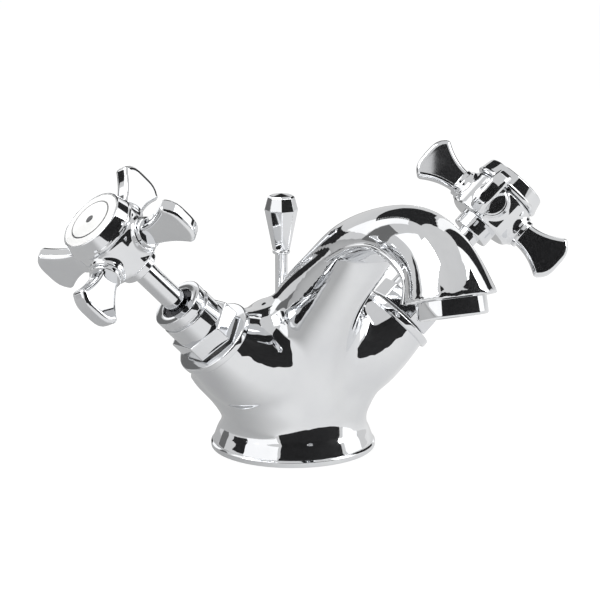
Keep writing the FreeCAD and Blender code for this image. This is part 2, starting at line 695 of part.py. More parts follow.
def handle_screw():
    """Slotted screw that holds the handle on its spindle."""
    head_top = POCKET_FLOOR + HANDLE_SCREW_HEAD_HEIGHT
    solid = joined([
        disc(HANDLE_SCREW_DIAMETER - 2 * SEAT_CLEARANCE, POCKET_FLOOR - HANDLE_SCREW_LENGTH, POCKET_FLOOR),
        disc(HANDLE_SCREW_HEAD_DIAMETER, POCKET_FLOOR, head_top),
    ])
    slot = Part.makeBox(HANDLE_SCREW_HEAD_DIAMETER, SCREW_SLOT_WIDTH, SCREW_SLOT_DEPTH)
    slot_floor = head_top - SCREW_SLOT_DEPTH
    slot.translate(Vector(-HANDLE_SCREW_HEAD_DIAMETER / 2, -SCREW_SLOT_WIDTH / 2, slot_floor))
    return solid.cut(slot)


def index_bezel():
    """Domed chrome ring that screws into the hub and carries the index disc."""
    foot = BEZEL_DIAMETER / 2
    top = BEZEL_TOP_DIAMETER / 2
    bore = BEZEL_BORE / 2
    spigot = HUB_POCKET_DIAMETER / 2 - SEAT_CLEARANCE
    seat = INDEX_DIAMETER / 2 + SEAT_CLEARANCE
    spigot_foot = HUB_TOP - BEZEL_SPIGOT_LENGTH
    edges = polyline([(foot, HUB_TOP), (spigot, HUB_TOP), (spigot, spigot_foot), (bore, spigot_foot),
                      (bore, INDEX_FOOT), (seat, INDEX_FOOT), (seat, BEZEL_TOP), (top, BEZEL_TOP)])
    bulge = ((foot + top) / 2 + BEZEL_BULGE, (HUB_TOP + BEZEL_TOP) / 2)
    edges.append(arc_through((top, BEZEL_TOP), bulge, (foot, HUB_TOP)))
    return revolve_profile(edges)


def index_disc():
    """White ceramic disc with a slight crown."""
    crown_top = BEZEL_TOP + INDEX_CROWN
    ball = cap_ball(INDEX_DIAMETER / 2, INDEX_CROWN, crown_top)
    return disc(INDEX_DIAMETER, INDEX_FOOT, crown_top).common(ball)


# Aerator, on the outlet's local axis with +Z along the flow
AERATOR_BORE = AERATOR_THREAD_DIAMETER - 2 * AERATOR_WALL


def aerator_housing():
    """Ring that screws into the bell and holds the insert on a lip."""
    barrel = disc(AERATOR_DIAMETER, 0, AERATOR_SHOW)
    rim = [e for e in barrel.Edges if e.Closed and e.CenterOfMass.z > AERATOR_SHOW / 2]
    barrel = barrel.makeFillet(AERATOR_EDGE_ROUND, rim)
    solid = joined([barrel, disc(AERATOR_THREAD_DIAMETER, -AERATOR_THREAD_LENGTH, 0)])
    solid = solid.cut(disc(AERATOR_BORE, -AERATOR_THREAD_LENGTH, AERATOR_SHOW - AERATOR_LIP))
    return solid.cut(disc(AERATOR_BORE - 2 * AERATOR_LIP, 0, AERATOR_SHOW))


def aerator_insert():
    """Perforated jet disc that rests on the housing's lip."""
    top = AERATOR_SHOW - AERATOR_LIP
    solid = disc(AERATOR_BORE - 2 * SEAT_CLEARANCE, top - INSERT_THICKNESS, top)
    field = AERATOR_BORE / 2 - AERATOR_LIP - INSERT_HOLE_DIAMETER
    reach = int(field / INSERT_HOLE_PITCH)
    holes = []
    for i in range(-reach, reach + 1):
        for j in range(-reach, reach + 1):
            place = Vector(i * INSERT_HOLE_PITCH, j * INSERT_HOLE_PITCH, top - INSERT_THICKNESS)
            if math.hypot(place.x, place.y) <= field:
                holes.append(Part.makeCylinder(INSERT_HOLE_DIAMETER / 2, INSERT_THICKNESS, place))
    return solid.cut(holes)


def aerator_washer():
    """Washer between the aerator's thread and the end of its bore."""
    outer = AERATOR_THREAD_DIAMETER - 2 * SEAT_CLEARANCE
    foot = -AERATOR_THREAD_LENGTH - AERATOR_WASHER_THICKNESS
    return ring(outer, AERATOR_WATERWAY_DIAMETER, foot, -AERATOR_THREAD_LENGTH)


# Lift rod and knob, on a vertical axis through ROD_Y
def on_rod(shape):
    """Shape moved to the rod's line."""
    placed = shape.copy()
    placed.translate(Vector(0, ROD_Y, 0))
    return placed


def rod_bush():
    """Guide bush for the lift rod, pressed into its bore from below."""
    bore = ROD_DIAMETER + 2 * ROD_CLEARANCE
    return on_rod(ring(BUSH_DIAMETER, bore, BUSH_TOP_HEIGHT - BUSH_LENGTH, BUSH_TOP_HEIGHT))


def lift_rod():
    """Rod with a stop at its foot, tapped into the knob at its top."""
    stop = disc(ROD_STOP_DIAMETER, ROD_FOOT_HEIGHT, ROD_FOOT_HEIGHT + ROD_STOP_HEIGHT)
    stem = disc(ROD_DIAMETER, ROD_FOOT_HEIGHT, KNOB_FOOT_HEIGHT + KNOB_SOCKET_DEPTH)
    return on_rod(joined([stop, stem]))


def facet_ring(width, height):
    """Closed polygon of the knob, width across corners."""
    turns = [2 * math.pi * (k + 0.5) / KNOB_FACETS for k in range(KNOB_FACETS + 1)]
    radius = width / 2
    return Part.makePolygon([Vector(radius * math.cos(t), radius * math.sin(t), height) for t in turns])


def lift_knob():
    """Faceted knob: round ferrule, long taper, short crown and a low dome."""
    taper_foot = KNOB_FOOT_HEIGHT + KNOB_FERRULE_HEIGHT
    taper_top = taper_foot + KNOB_TAPER_HEIGHT
    crown_top = taper_top + KNOB_CROWN_HEIGHT
    dome_edge = KNOB_CROWN_WIDTH / 2 * math.cos(math.pi / KNOB_FACETS)
    knob_top = crown_top + KNOB_DOME_HEIGHT
    ball = cap_ball(dome_edge, KNOB_DOME_HEIGHT, knob_top)
    dome = disc(2 * dome_edge, crown_top, knob_top).common(ball)
    waist = facet_ring(KNOB_WIDTH, taper_top)
    taper = Part.makeLoft([facet_ring(KNOB_FERRULE_DIAMETER, taper_foot), waist], True, True)
    crown = Part.makeLoft([waist, facet_ring(KNOB_CROWN_WIDTH, crown_top)], True, True)
    ferrule = disc(KNOB_FERRULE_DIAMETER, KNOB_FOOT_HEIGHT, taper_foot)
    solid = joined([taper, crown, dome, ferrule])
    socket_top = KNOB_FOOT_HEIGHT + KNOB_SOCKET_DEPTH + SEAT_CLEARANCE
    return on_rod(solid.cut(disc(ROD_DIAMETER + 2 * SEAT_CLEARANCE, KNOB_FOOT_HEIGHT, socket_top)))


def valve_nodes():
    """Pieces of one valve and handle, on the local axis."""
    return {
        "headgear": headgear(),
        "headgear_washer": headgear_washer(),
        "seat_seal": seat_seal(),
        "fixed_disc": ported_disc(SEAL_TOP),
        "moving_disc": around(ported_disc(MOVING_DISC_FOOT), DISC_CLOSED_TURN),
        "spindle": spindle(),
        "spindle_orings": spindle_orings(),
        "spindle_clip": spindle_clip(),
        "handle_hub": handle_hub(),
        "handle_lobes": handle_lobes(),
        "handle_screw": handle_screw(),
        "index_bezel": index_bezel(),
        "index_disc": index_disc(),
    }


def all_nodes():
    """Every piece of the mixer by name, in place."""
    nodes = {
        "mixer_body": mixer_body(),
        "base_seal": base_seal(),
        "aerator_housing": at_outlet(aerator_housing()),
        "aerator_insert": at_outlet(aerator_insert()),
        "aerator_washer": at_outlet(aerator_washer()),
        "rod_bush": rod_bush(),
        "lift_rod": lift_rod(),
        "lift_knob": lift_knob(),
    }
    valve = valve_nodes()
    for name, side in SIDES.items():
        # The two handles mirror each other, so their lobes are clocked in opposite senses
        clock = LOBE_CLOCK if side < 0 else 180.0 - LOBE_CLOCK
        for piece, shape in valve.items():
            nodes[name + "_" + piece] = on_valve(around(shape, clock), side)
    return nodes


def main():
    os.makedirs("parts", exist_ok=True)
    for name, shape in all_nodes().items():
        shape.exportStep("parts/" + name + ".step")


main()
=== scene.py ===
# Basin mixer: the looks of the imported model, in metres and in its frame.
# Shapes are worked out in millimetres, on the object's own axes, and scaled as they are made.
import json
import math

import bpy
import numpy as np
import openvdb
from mathutils import Matrix, Vector


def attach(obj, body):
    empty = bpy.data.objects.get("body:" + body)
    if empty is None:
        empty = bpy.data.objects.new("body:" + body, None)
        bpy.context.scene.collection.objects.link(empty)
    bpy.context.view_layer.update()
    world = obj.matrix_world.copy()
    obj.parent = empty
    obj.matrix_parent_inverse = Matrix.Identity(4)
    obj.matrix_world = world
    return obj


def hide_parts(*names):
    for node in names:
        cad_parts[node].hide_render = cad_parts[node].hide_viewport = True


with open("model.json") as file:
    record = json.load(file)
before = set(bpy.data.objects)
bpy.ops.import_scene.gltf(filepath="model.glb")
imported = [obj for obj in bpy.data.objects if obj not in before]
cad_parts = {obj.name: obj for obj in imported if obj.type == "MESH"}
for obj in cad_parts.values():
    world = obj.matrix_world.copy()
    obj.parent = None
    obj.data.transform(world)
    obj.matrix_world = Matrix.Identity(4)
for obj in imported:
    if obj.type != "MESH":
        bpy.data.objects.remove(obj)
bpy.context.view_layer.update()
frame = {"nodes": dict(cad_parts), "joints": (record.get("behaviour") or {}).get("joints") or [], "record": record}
NODES = frame["nodes"]
JOINTS = {joint["name"]: joint for joint in frame["joints"]}
MM = 0.001
RIGHT = Vector((1, 0, 0))
UP = Vector((0, 0, 1))
SIDES = {"hot": -1, "cold": 1}

# Base
BASE_RADIUS = 29.0
LIP_WIDTH = 4.0
LIP_HEIGHT = 2.4
LIP_SETBACK = 0.6
LIP_EDGE_DROP = 0.5
LIP_OVERLAP = 0.1
LIP_FOOT_ROUNDING = 0.9
LIP_EDGE_ROUNDING = 0.3
COLLAR_FOOT = 0.4
COLLAR_FOOT_INSET = 0.2
COLLAR_BULGE = 0.5
COLLAR_ROUNDING = 3.0
NECK_RADIUS = 24.0
NECK_HEIGHT = 11.5
NECK_ROUNDING = 0.8
BODY_FOOT = 9.5

# Valve arms
VALVE_START = Vector((0, -7, 10))
ARM_LENGTH = 50.5
ARM_END_RADIUS = 13.0
ARM_FLANGE_RADIUS = 14.4
ARM_FLANGE_THICKNESS = 2.6
ARM_FLANGE_ROUNDING = 0.7
YOKE_CENTRE = Vector((0, -3.5, 33))
YOKE_RADIUS = 21.5
FLARE_Y = -1.2
FLARE_TOP_HEIGHT = 29.0
FLARE_ROOT_RADIUS = 25.2
FLARE_TOP_HALF_WIDTH = 39.0

# Hooded spout
OUTLET_CENTRE = Vector((0, -111, 76.5))
OUTLET_ANGLE = -73.0
BELL_RADIUS = 14.4
HOOD_HALF_WIDTH = 14.0
HOOD_PEAK = Vector((0, -83, 100.5))
HOOD_TAIL = Vector((0, 20, 42))
HOOD_CROWN = 12.0
HOOD_BELLY = 5.0
BEAD_RADIUS = 1.1

# Stations along the valve axis
WASHER_FACE = 51.3
HEX_TOP = 58.0
BARREL_TOP = 65.0
GROOVE_TOP = 66.3
RIM_TOP = 69.5
CUP_FLOOR = 67.3
BOSS_FOOT = 89.0
HUB_FOOT = 93.8
LOBE_PLANE = 101.0
HUB_TOP = 108.2
BEZEL_TOP = 114.2
LOBE_CLOCK = 34.0

# Headgear and spindle
HEX_SIDES = 6
HEX_ACROSS_FLATS = 20.5
HEX_SOFTENING = 0.5
BARREL_RADIUS = 9.5
BARREL_OVERLAP = 2.0
BARREL_ROUNDING = 0.5
GROOVE_RADIUS = 8.5
GROOVE_ROUNDING = 0.15
RIM_RADIUS = 9.4
RIM_FOOT_ROUNDING = 0.4
RIM_ROUNDING = 0.5
CUP_RADIUS = 6.1
CUP_EDGE_ROUNDING = 0.35
CUP_FLOOR_ROUNDING = 0.2
HEADGEAR_BORE_RADIUS = 4.3
SPINDLE_RADIUS = 4.0
SPINDLE_SINK = 8.0
SPINDLE_OVERLAP = 2.0

# Handle
HUB_RADIUS = 12.0
HUB_SOFTENING = 1.4
SOCKET_FOOT = 6.0
SOCKET_END = 13.4
SOCKET_RADIUS = 5.8
SOCKET_SOFTENING = 0.5
SOCKET_BLEND = 1.6
BOSS_RADIUS = 7.0
BOSS_BORE_RADIUS = 3.9
BOSS_OVERLAP = 1.0
BOSS_ROUNDING = 0.7
LOBE_COUNT = 4
LOBE_ROOT = 14.2
LOBE_TIP = 31.0
LOBE_END_CROWN = 2.3
LOBE_ROOT_HALF_WIDTH = 4.3
LOBE_TIP_HALF_WIDTH = 8.5
LOBE_WAIST = 1.1
LOBE_HALF_THICKNESS = 2.8
LOBE_SOFTENING = 1.5
LOBE_COLLAR_FOOT = 13.2
LOBE_COLLAR_TOP = 14.9
LOBE_COLLAR_CROWN = 15.6
LOBE_COLLAR_RADIUS = 5.3
LOBE_COLLAR_ROUNDING = 0.5

# Lift rod and knob
ROD_Y = 9.5
ROD_RADIUS = 2.2
ROD_FOOT = 40.0
ROD_OVERLAP = 2.0
KNOB_FOOT = 67.3
KNOB_SIDES = 8
KNOB_DOME = 0.6
KNOB_SOFTENING = 0.3
FERRULE_OVERLAP = 0.2


# Places
def valve_axis(name):
    """Unit vector out along a valve's spindle."""
    return Vector(JOINTS[name + "_turn"]["axis"]).normalized()


def frame_of_valve(name):
    """Matrix, in millimetres, from a valve's own axis to the row frame: +Z out along the spindle."""
    z_axis = valve_axis(name)
    x_axis = UP.cross(z_axis).normalized()
    basis = Matrix((x_axis, z_axis.cross(x_axis), z_axis)).transposed().to_4x4()
    clock = LOBE_CLOCK if SIDES[name] < 0 else 180.0 - LOBE_CLOCK
    return Matrix.Translation(VALVE_START) @ basis @ Matrix.Rotation(math.radians(clock), 4, "Z")


def spout_frame(angle):
    """Forward travel and outward normal of a spout section, its angle measured up from forward."""
    turn = math.radians(angle)
    return Vector((0, -math.cos(turn), math.sin(turn))), Vector((0, math.sin(turn), math.cos(turn)))


def frame_of_outlet():
    """Matrix, in millimetres, from the outlet's own axis to the row frame: +Z along the flow."""
    flow = spout_frame(OUTLET_ANGLE)[0]
    basis = Matrix((RIGHT, flow.cross(RIGHT), flow)).transposed().to_4x4()
    return Matrix.Translation(OUTLET_CENTRE) @ basis


# Materials
NOISE_LOW = 0.3
NOISE_HIGH = 0.7
NOISE_DETAIL = 3.0
ROUGHNESS_SCALE = 1.7
GRAIN_SCALE = 900.0
GRAIN_DETAIL = 2.0
GRAIN_HEIGHT = 0.0002
# Numbers of the colour sockets of a mix node
MIX_FIRST = 6
MIX_SECOND = 7
MIX_RESULT = 2
WHITE = (1, 1, 1, 1)


class Nodes:
    """Short way to write a material's or the world's nodes."""

    def __init__(self, owner):
        owner.use_nodes = True
        self.tree = owner.node_tree
        self.tree.nodes.clear()

    def add(self, kind, inputs=None, **settings):
        """New node with its settings, and with values set on its inputs or sockets linked to them."""
        node = self.tree.nodes.new(kind)
        for key, value in settings.items():
            setattr(node, key, value)
        for key, value in (inputs or {}).items():
            if isinstance(value, bpy.types.NodeSocket):
                self.tree.links.new(value, node.inputs[key])
            else:
                node.inputs[key].default_value = value
        return node


def largest(nodes, sockets):
    """Socket with the largest of several values."""
    best = sockets[0]
    for socket in sockets[1:]:
        best = nodes.add("ShaderNodeMath", {0: best, 1: socket}, operation="MAXIMUM").outputs[0]
    return best


def noise_between(nodes, coordinate, scale, low, high):
    """Socket that wanders between two values over the surface."""
    noise = nodes.add("ShaderNodeTexNoise", {"Vector": coordinate, "Scale": scale, "Detail": NOISE_DETAIL})
    spread = nodes.add("ShaderNodeMapRange", {
        "Value": noise.outputs["Fac"], "From Min": NOISE_LOW, "From Max": NOISE_HIGH,
        "To Min": low, "To Max": high})
    return spread.outputs["Result"]


def tinted(nodes, coordinate, scale, first, second):
    """Colour that wanders between two tints over the surface."""
    share = noise_between(nodes, coordinate, scale, 0.0, 1.0)
    mix = nodes.add("ShaderNodeMix", {
        "Factor": share, MIX_FIRST: (*first, 1.0), MIX_SECOND: (*second, 1.0)}, data_type="RGBA")
    return mix.outputs[MIX_RESULT]


def surface(name, first, second, rough, metallic=0.0, scale=60.0, bump=0.0, paint=None, **sockets):
    """Principled material with tints, roughness and bump that vary over the surface."""
    material = bpy.data.materials.new(name)
    nodes = Nodes(material)
    place = nodes.add("ShaderNodeTexCoord").outputs["Object"]
    colour = tinted(nodes, place, scale, first, second)
    inputs = {
        "Base Color": paint(nodes, place, colour) if paint else colour,
        "Roughness": noise_between(nodes, place, scale * ROUGHNESS_SCALE, *rough),
        "Metallic": metallic}
    for key, value in sockets.items():
        inputs[key.replace("_", " ")] = value
    if bump:
        grain = nodes.add("ShaderNodeTexNoise", {
            "Vector": place, "Scale": GRAIN_SCALE, "Detail": GRAIN_DETAIL})
        inputs["Normal"] = nodes.add("ShaderNodeBump", {
            "Height": grain.outputs["Fac"], "Strength": bump, "Distance": GRAIN_HEIGHT}).outputs["Normal"]
    shader = nodes.add("ShaderNodeBsdfPrincipled", inputs)
    nodes.add("ShaderNodeOutputMaterial", {"Surface": shader.outputs["BSDF"]})
    return material


CHROME = surface("chrome", (0.80, 0.81, 0.83), (0.86, 0.87, 0.88), (0.02, 0.05), metallic=1.0)
SLOT_MATERIALS = {
    "chrome": CHROME,
    "valve_ceramic": surface("valve_ceramic", (0.80, 0.78, 0.73), (0.86, 0.84, 0.80), (0.12, 0.22),
                             bump=0.1),
    "rubber": surface("rubber", (0.02, 0.02, 0.02), (0.045, 0.045, 0.045), (0.55, 0.75), bump=0.4),
    "fibre": surface("fibre", (0.05, 0.05, 0.05), (0.10, 0.10, 0.10), (0.7, 0.9), bump=0.6),
    "jet_plastic": surface("jet_plastic", (0.62, 0.63, 0.64), (0.72, 0.73, 0.74), (0.3, 0.45), bump=0.15),
    "clip_steel": surface("clip_steel", (0.05, 0.05, 0.055), (0.11, 0.11, 0.12), (0.2, 0.35),
                          metallic=1.0, bump=0.2),
    "brass": surface("brass", (0.66, 0.49, 0.21), (0.78, 0.60, 0.28), (0.18, 0.3), metallic=1.0, bump=0.15),
}

GLAZE_WHITE = (0.86, 0.86, 0.85)
GLAZE_SHADE = (0.80, 0.80, 0.79)
GLAZE_ROUGHNESS = (0.08, 0.14)
GLAZE_SCALE = 90.0
GLAZE_COAT = 0.6
GLAZE_COAT_ROUGHNESS = 0.05
MARK_COLOUR = (0.06, 0.06, 0.065, 1.0)
MARK_RING_RADIUS = 7.6
MARK_RING_HALF = 0.28
MARK_DOT_RADIUS = 1.5
MARK_EDGE = 0.12


def index_glaze(name):
    """White glaze with a thin ring and a dot painted round the valve's axis."""

    def marked(nodes, place, glaze):
        """The glaze's colour with the marks over it, by the distance from the axis."""
        away = nodes.add("ShaderNodeVectorMath", {0: place, 1: VALVE_START * MM}, operation="SUBTRACT")
        turned = nodes.add("ShaderNodeVectorMath", {0: away.outputs[0], 1: valve_axis(name)},
                           operation="CROSS_PRODUCT")
        radius = nodes.add("ShaderNodeVectorMath", {0: turned.outputs[0]}, operation="LENGTH")
        marks = []
        for centre, half in ((MARK_RING_RADIUS, MARK_RING_HALF), (0.0, MARK_DOT_RADIUS)):
            offset = nodes.add("ShaderNodeMath", {0: radius.outputs["Value"], 1: centre * MM},
                               operation="SUBTRACT")
            gap = nodes.add("ShaderNodeMath", {0: offset.outputs[0]}, operation="ABSOLUTE")
            marks.append(nodes.add("ShaderNodeMapRange", {
                "Value": gap.outputs[0], "From Min": (half - MARK_EDGE) * MM,
                "From Max": (half + MARK_EDGE) * MM, "To Min": 1.0, "To Max": 0.0}).outputs["Result"])
        painted = nodes.add("ShaderNodeMix", {
            "Factor": largest(nodes, marks), MIX_FIRST: glaze, MIX_SECOND: MARK_COLOUR}, data_type="RGBA")
        return painted.outputs[MIX_RESULT]

    return surface(name + "_index_glaze", GLAZE_SHADE, GLAZE_WHITE, GLAZE_ROUGHNESS, scale=GLAZE_SCALE,
                   paint=marked, Coat_Weight=GLAZE_COAT, Coat_Roughness=GLAZE_COAT_ROUGHNESS)


# Meshes
SHARP_ANGLE = 35.0
SKIN_SHARP_ANGLE = 60.0
KNOB_SHARP_ANGLE = 24.0
ARC_STEPS = 5
# The largest share of an edge that a corner's arc takes
ARC_SHARE = 0.49
ON_AXIS = 1e-6
LOFT_RINGS = 240
LOFT_AROUND = 192
TUBE_AROUND = 20
# A direction that no tube runs along
TUBE_SKEW = (1.0, 0.13, 0.31)
EVEN_PUSH = 0.5
EVEN_RETURN = -0.52
OFFSET_MARGIN_VOXELS = 3
OFFSET_ROUNDS = 3


def add_piece(name, shape, body, node, place=Matrix(), sharp=SHARP_ANGLE, material=CHROME):
    """Piece from millimetre points and faces, put in its place, that rides on a body and replaces a node."""
    points, faces = shape
    mesh = bpy.data.meshes.new(name)
    mesh.from_pydata([tuple(p) for p in points], [], [tuple(f) for f in faces])
    mesh.transform(Matrix.Scale(MM, 4) @ place)
    mesh.update()
    mesh.polygons.foreach_set("use_smooth", [True] * len(mesh.polygons))
    mesh.set_sharp_from_angle(angle=math.radians(sharp))
    mesh.materials.append(material)
    piece = bpy.data.objects.new(name, mesh)
    bpy.context.scene.collection.objects.link(piece)
    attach(piece, body)
    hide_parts(node)


def rounded_profile(corners):
    """Outline with each (radius, height, rounding) corner turned into an arc of that rounding."""
    path = []
    count = len(corners)
    for k, (r, z, rounding) in enumerate(corners):
        here = Vector((r, z))
        if rounding <= 0:
            path.append(here)
            continue
        back = Vector(corners[k - 1][:2]) - here
        ahead = Vector(corners[(k + 1) % count][:2]) - here
        opening = back.angle(ahead) / 2
        reach = min(rounding / math.tan(opening), ARC_SHARE * back.length, ARC_SHARE * ahead.length)
        start = here + back.normalized() * reach
        end = here + ahead.normalized() * reach
        for i in range(ARC_STEPS + 1):
            t = i / ARC_STEPS
            path.append(start * (1 - t) ** 2 + here * 2 * t * (1 - t) + end * t ** 2)
    return path


def raised(corners, height):
    """Outline moved up the axis."""
    return [(r, height + z, rounding) for r, z, rounding in corners]


def lathe(corners, segments=144):
    """Points and faces of a closed outline turned about Z; corners on the axis become poles."""
    points = []
    rings = []
    for r, z in rounded_profile(corners):
        if r < ON_AXIS:
            rings.append([len(points)])
            points.append((0, 0, z))
            continue
        first = len(points)
        for k in range(segments):
            turn = 2 * math.pi * k / segments
            points.append((r * math.cos(turn), r * math.sin(turn), z))
        rings.append(list(range(first, first + segments)))
    faces = []
    for low, high in zip(rings, rings[1:] + rings[:1]):
        if len(low) == 1 and len(high) == 1:
            continue
        for k in range(segments):
            after = (k + 1) % segments
            if len(low) == 1:
                faces.append((low[0], high[after], high[k]))
            elif len(high) == 1:
                faces.append((low[k], low[after], high[0]))
            else:
                faces.append((low[k], low[after], high[after], high[k]))
    return points, faces


def spline(values, count):
    """Natural cubic through evenly spaced values, sampled count times."""
    knots = np.asarray(values, float)
    last = len(knots) - 1
    system = np.eye(last + 1)
    target = np.zeros_like(knots)
    for k in range(1, last):
        system[k, k - 1:k + 2] = (1, 4, 1)
        target[k] = 6 * (knots[k + 1] - 2 * knots[k] + knots[k - 1])
    bends = np.linalg.solve(system, target)
    where = np.linspace(0, last, count)
    k = np.minimum(where.astype(int), last - 1)
    t = (where - k).reshape((-1,) + (1,) * (knots.ndim - 1))
    start, end = knots[k], knots[k + 1]
    return (start * (1 - t) + end * t
            + (bends[k] * ((1 - t) ** 3 - (1 - t)) + bends[k + 1] * (t ** 3 - t)) / 6)


def ring_quads(rings, around):
    """Point numbers by ring, each ring's next numbers, and the quads between the rings."""
    index = np.arange(rings * around).reshape(rings, around)
    after = np.roll(index, -1, axis=1)
    quads = np.stack([index[:-1], after[:-1], after[1:], index[1:]], axis=-1).reshape(-1, 4)
    return index, after, quads


def loft(sections):
    """Smooth closed shape through (centre, across, along, half width, front, back) sections."""
    centre = spline([s[0] for s in sections], LOFT_RINGS)
    across = spline([s[1] for s in sections], LOFT_RINGS)
    along = spline([s[2] for s in sections], LOFT_RINGS)
    across /= np.linalg.norm(across, axis=1, keepdims=True)
    along /= np.linalg.norm(along, axis=1, keepdims=True)
    sizes = spline([s[3:6] for s in sections], LOFT_RINGS)
    turn = np.linspace(0, 2 * np.pi, LOFT_AROUND, endpoint=False)
    cos, sin = np.cos(turn), np.sin(turn)
    depth = np.where(sin[None, :] >= 0, sizes[:, 1:2], sizes[:, 2:3]) * sin[None, :]
    points = (centre[:, None, :] + across[:, None, :] * (sizes[:, 0:1] * cos[None, :])[:, :, None]
              + along[:, None, :] * depth[:, :, None]).reshape(-1, 3)
    index, after, quads = ring_quads(LOFT_RINGS, LOFT_AROUND)
    caps = []
    for ring, flip in ((0, 1), (LOFT_RINGS - 1, -1)):
        pole = len(points)
        points = np.vstack([points, points[index[ring]].mean(axis=0)])
        fan = np.stack([np.full(LOFT_AROUND, pole), after[ring], index[ring]], axis=-1)
        caps.append(fan[:, ::flip])
    return points, quads, np.vstack(caps)


def tube(path, radius):
    """Round tube along points, closed at both ends."""
    travel = np.gradient(path, axis=0)
    travel /= np.linalg.norm(travel, axis=1, keepdims=True)
    side = np.cross(travel, TUBE_SKEW)
    side /= np.linalg.norm(side, axis=1, keepdims=True)
    third = np.cross(travel, side)
    turn = np.linspace(0, 2 * np.pi, TUBE_AROUND, endpoint=False)
    ring = side[:, None, :] * np.cos(turn)[None, :, None] + third[:, None, :] * np.sin(turn)[None, :, None]
    points = (path[:, None, :] + ring * radius).reshape(-1, 3)
    index, _, quads = ring_quads(len(path), TUBE_AROUND)
    return points, quads.tolist() + [index[0, ::-1].tolist(), index[-1].tolist()]


def faces_by_size(faces):
    """Quads and triangles of a face list, apart."""
    quads = np.array([f for f in faces if len(f) == 4]).reshape(-1, 4)
    return quads, np.array([f for f in faces if len(f) == 3]).reshape(-1, 3)


class Voxels:
    """A box of voxels that shapes are drawn in as signed distances, in millimetres."""

    def __init__(self, low, high, size, reach):
        self.corner = tuple(int(math.floor(v / size)) for v in low)
        self.shape = tuple(int(math.ceil(h / size)) - c for h, c in zip(high, self.corner))
        self.band = reach / size
        self.reach = reach
        self.transform = openvdb.createLinearTransform(voxelSize=size)

    def distance(self, points, quads, triangles=np.zeros((0, 3))):
        """Signed distance to a closed mesh, negative inside, exact within reach."""
        grid = openvdb.FloatGrid.createLevelSetFromPolygons(
            np.asarray(points, np.float32), triangles=np.asarray(triangles, np.uint32),
            quads=np.asarray(quads, np.uint32), transform=self.transform, halfWidth=self.band)
        values = np.full(self.shape, self.reach, np.float32)
        grid.copyToArray(values, ijk=self.corner)
        return values

    def solid(self, points, faces):
        """Signed distance to a closed mesh of quads and triangles."""
        return self.distance(points, *faces_by_size(faces))

    def skin(self, values, level=0.0):
        """Quads on the surface where the distance has that level."""
        grid = openvdb.FloatGrid(self.reach)
        grid.copyFromArray(np.ascontiguousarray(values), ijk=self.corner)
        grid.transform = self.transform
        grid.gridClass = openvdb.GridClass.LEVEL_SET
        points, quads = grid.convertToQuads(level)
        a, b, c = points[quads[:, 0]], points[quads[:, 1]], points[quads[:, 2]]
        if np.einsum("ij,ij->i", a.astype(float), np.cross(b, c).astype(float)).sum() < 0:
            quads = quads[:, ::-1]
        return points, quads

    def filleted(self, values, radius):
        """The shape with its inner corners filled as by a rolling ball."""
        return self.distance(*self.skin(values, radius)) + radius


def smooth_union(first, second, blend):
    """Union of two distances with a soft corner about as wide as blend."""
    share = np.maximum(blend - np.abs(first - second), 0) / blend
    return np.minimum(first, second) - share ** 2 * blend / 4


def relaxed(points, quads, rounds):
    """Points evened out along the surface without shrinking it."""
    edges = np.vstack([quads[:, [k, (k + 1) % 4]] for k in range(4)])
    edges = np.unique(np.sort(edges, axis=1), axis=0)
    ends = np.concatenate([edges[:, 0], edges[:, 1]])
    others = np.concatenate([edges[:, 1], edges[:, 0]])
    count = np.bincount(ends, minlength=len(points))[:, None]
    places = points.astype(float)
    for step in range(2 * rounds):
        total = np.stack([np.bincount(ends, places[others, axis], len(places)) for axis in range(3)], axis=1)
        push = EVEN_PUSH if step % 2 == 0 else EVEN_RETURN
        places = places + push * (total / count - places)
    return places


def offset_solid(points, faces, radius, size):
    """Mesh with every edge rounded, from a smaller solid grown by the rounding radius."""
    points = np.asarray(points, float)
    margin = radius + OFFSET_MARGIN_VOXELS * size
    box = Voxels(points.min(axis=0) - margin, points.max(axis=0) + margin, size, margin)
    skin_points, quads = box.skin(box.solid(points, faces), radius)
    return relaxed(skin_points, quads, OFFSET_ROUNDS), quads


def prism(outline, foot, top, axes):
    """Straight solid over a closed outline; axes maps (u, v, w) to the three coordinates."""
    count = len(outline)
    points = [axes(u, v, foot) for u, v in outline] + [axes(u, v, top) for u, v in outline]
    faces = [(k, (k + 1) % count, count + (k + 1) % count, count + k) for k in range(count)]
    centre = [sum(c) / count for c in zip(*outline)]
    points += [axes(*centre, foot), axes(*centre, top)]
    faces += [((k + 1) % count, k, 2 * count) for k in range(count)]
    faces += [(count + k, count + (k + 1) % count, 2 * count + 1) for k in range(count)]
    return points, faces


# Body casting
# Each hood section behind the peak, from the tail: run, rise, angle, width and crown
HOOD_BACK = (
    (0.0, 0.0, 50.0, 0.36, 1.1),
    (0.146, 0.29, 40.0, 0.42, 1.15),
    (0.34, 0.525, 34.0, 0.5, 1.15),
    (0.544, 0.745, 27.0, 0.65, 1.08),
    (0.777, 0.91, 17.0, 0.83, 1.0),
    (1.0, 1.0, 4.0, 0.893, 1.0),
)
# Each hood section in front of the peak: run, rise, angle, width, crown and belly
HOOD_FRONT = (
    (0.48, 0.1, -24.0, 0.857, 1.083, 1.2),
    (0.79, 0.48, -52.0, 0.893, 1.083, 1.8),
)
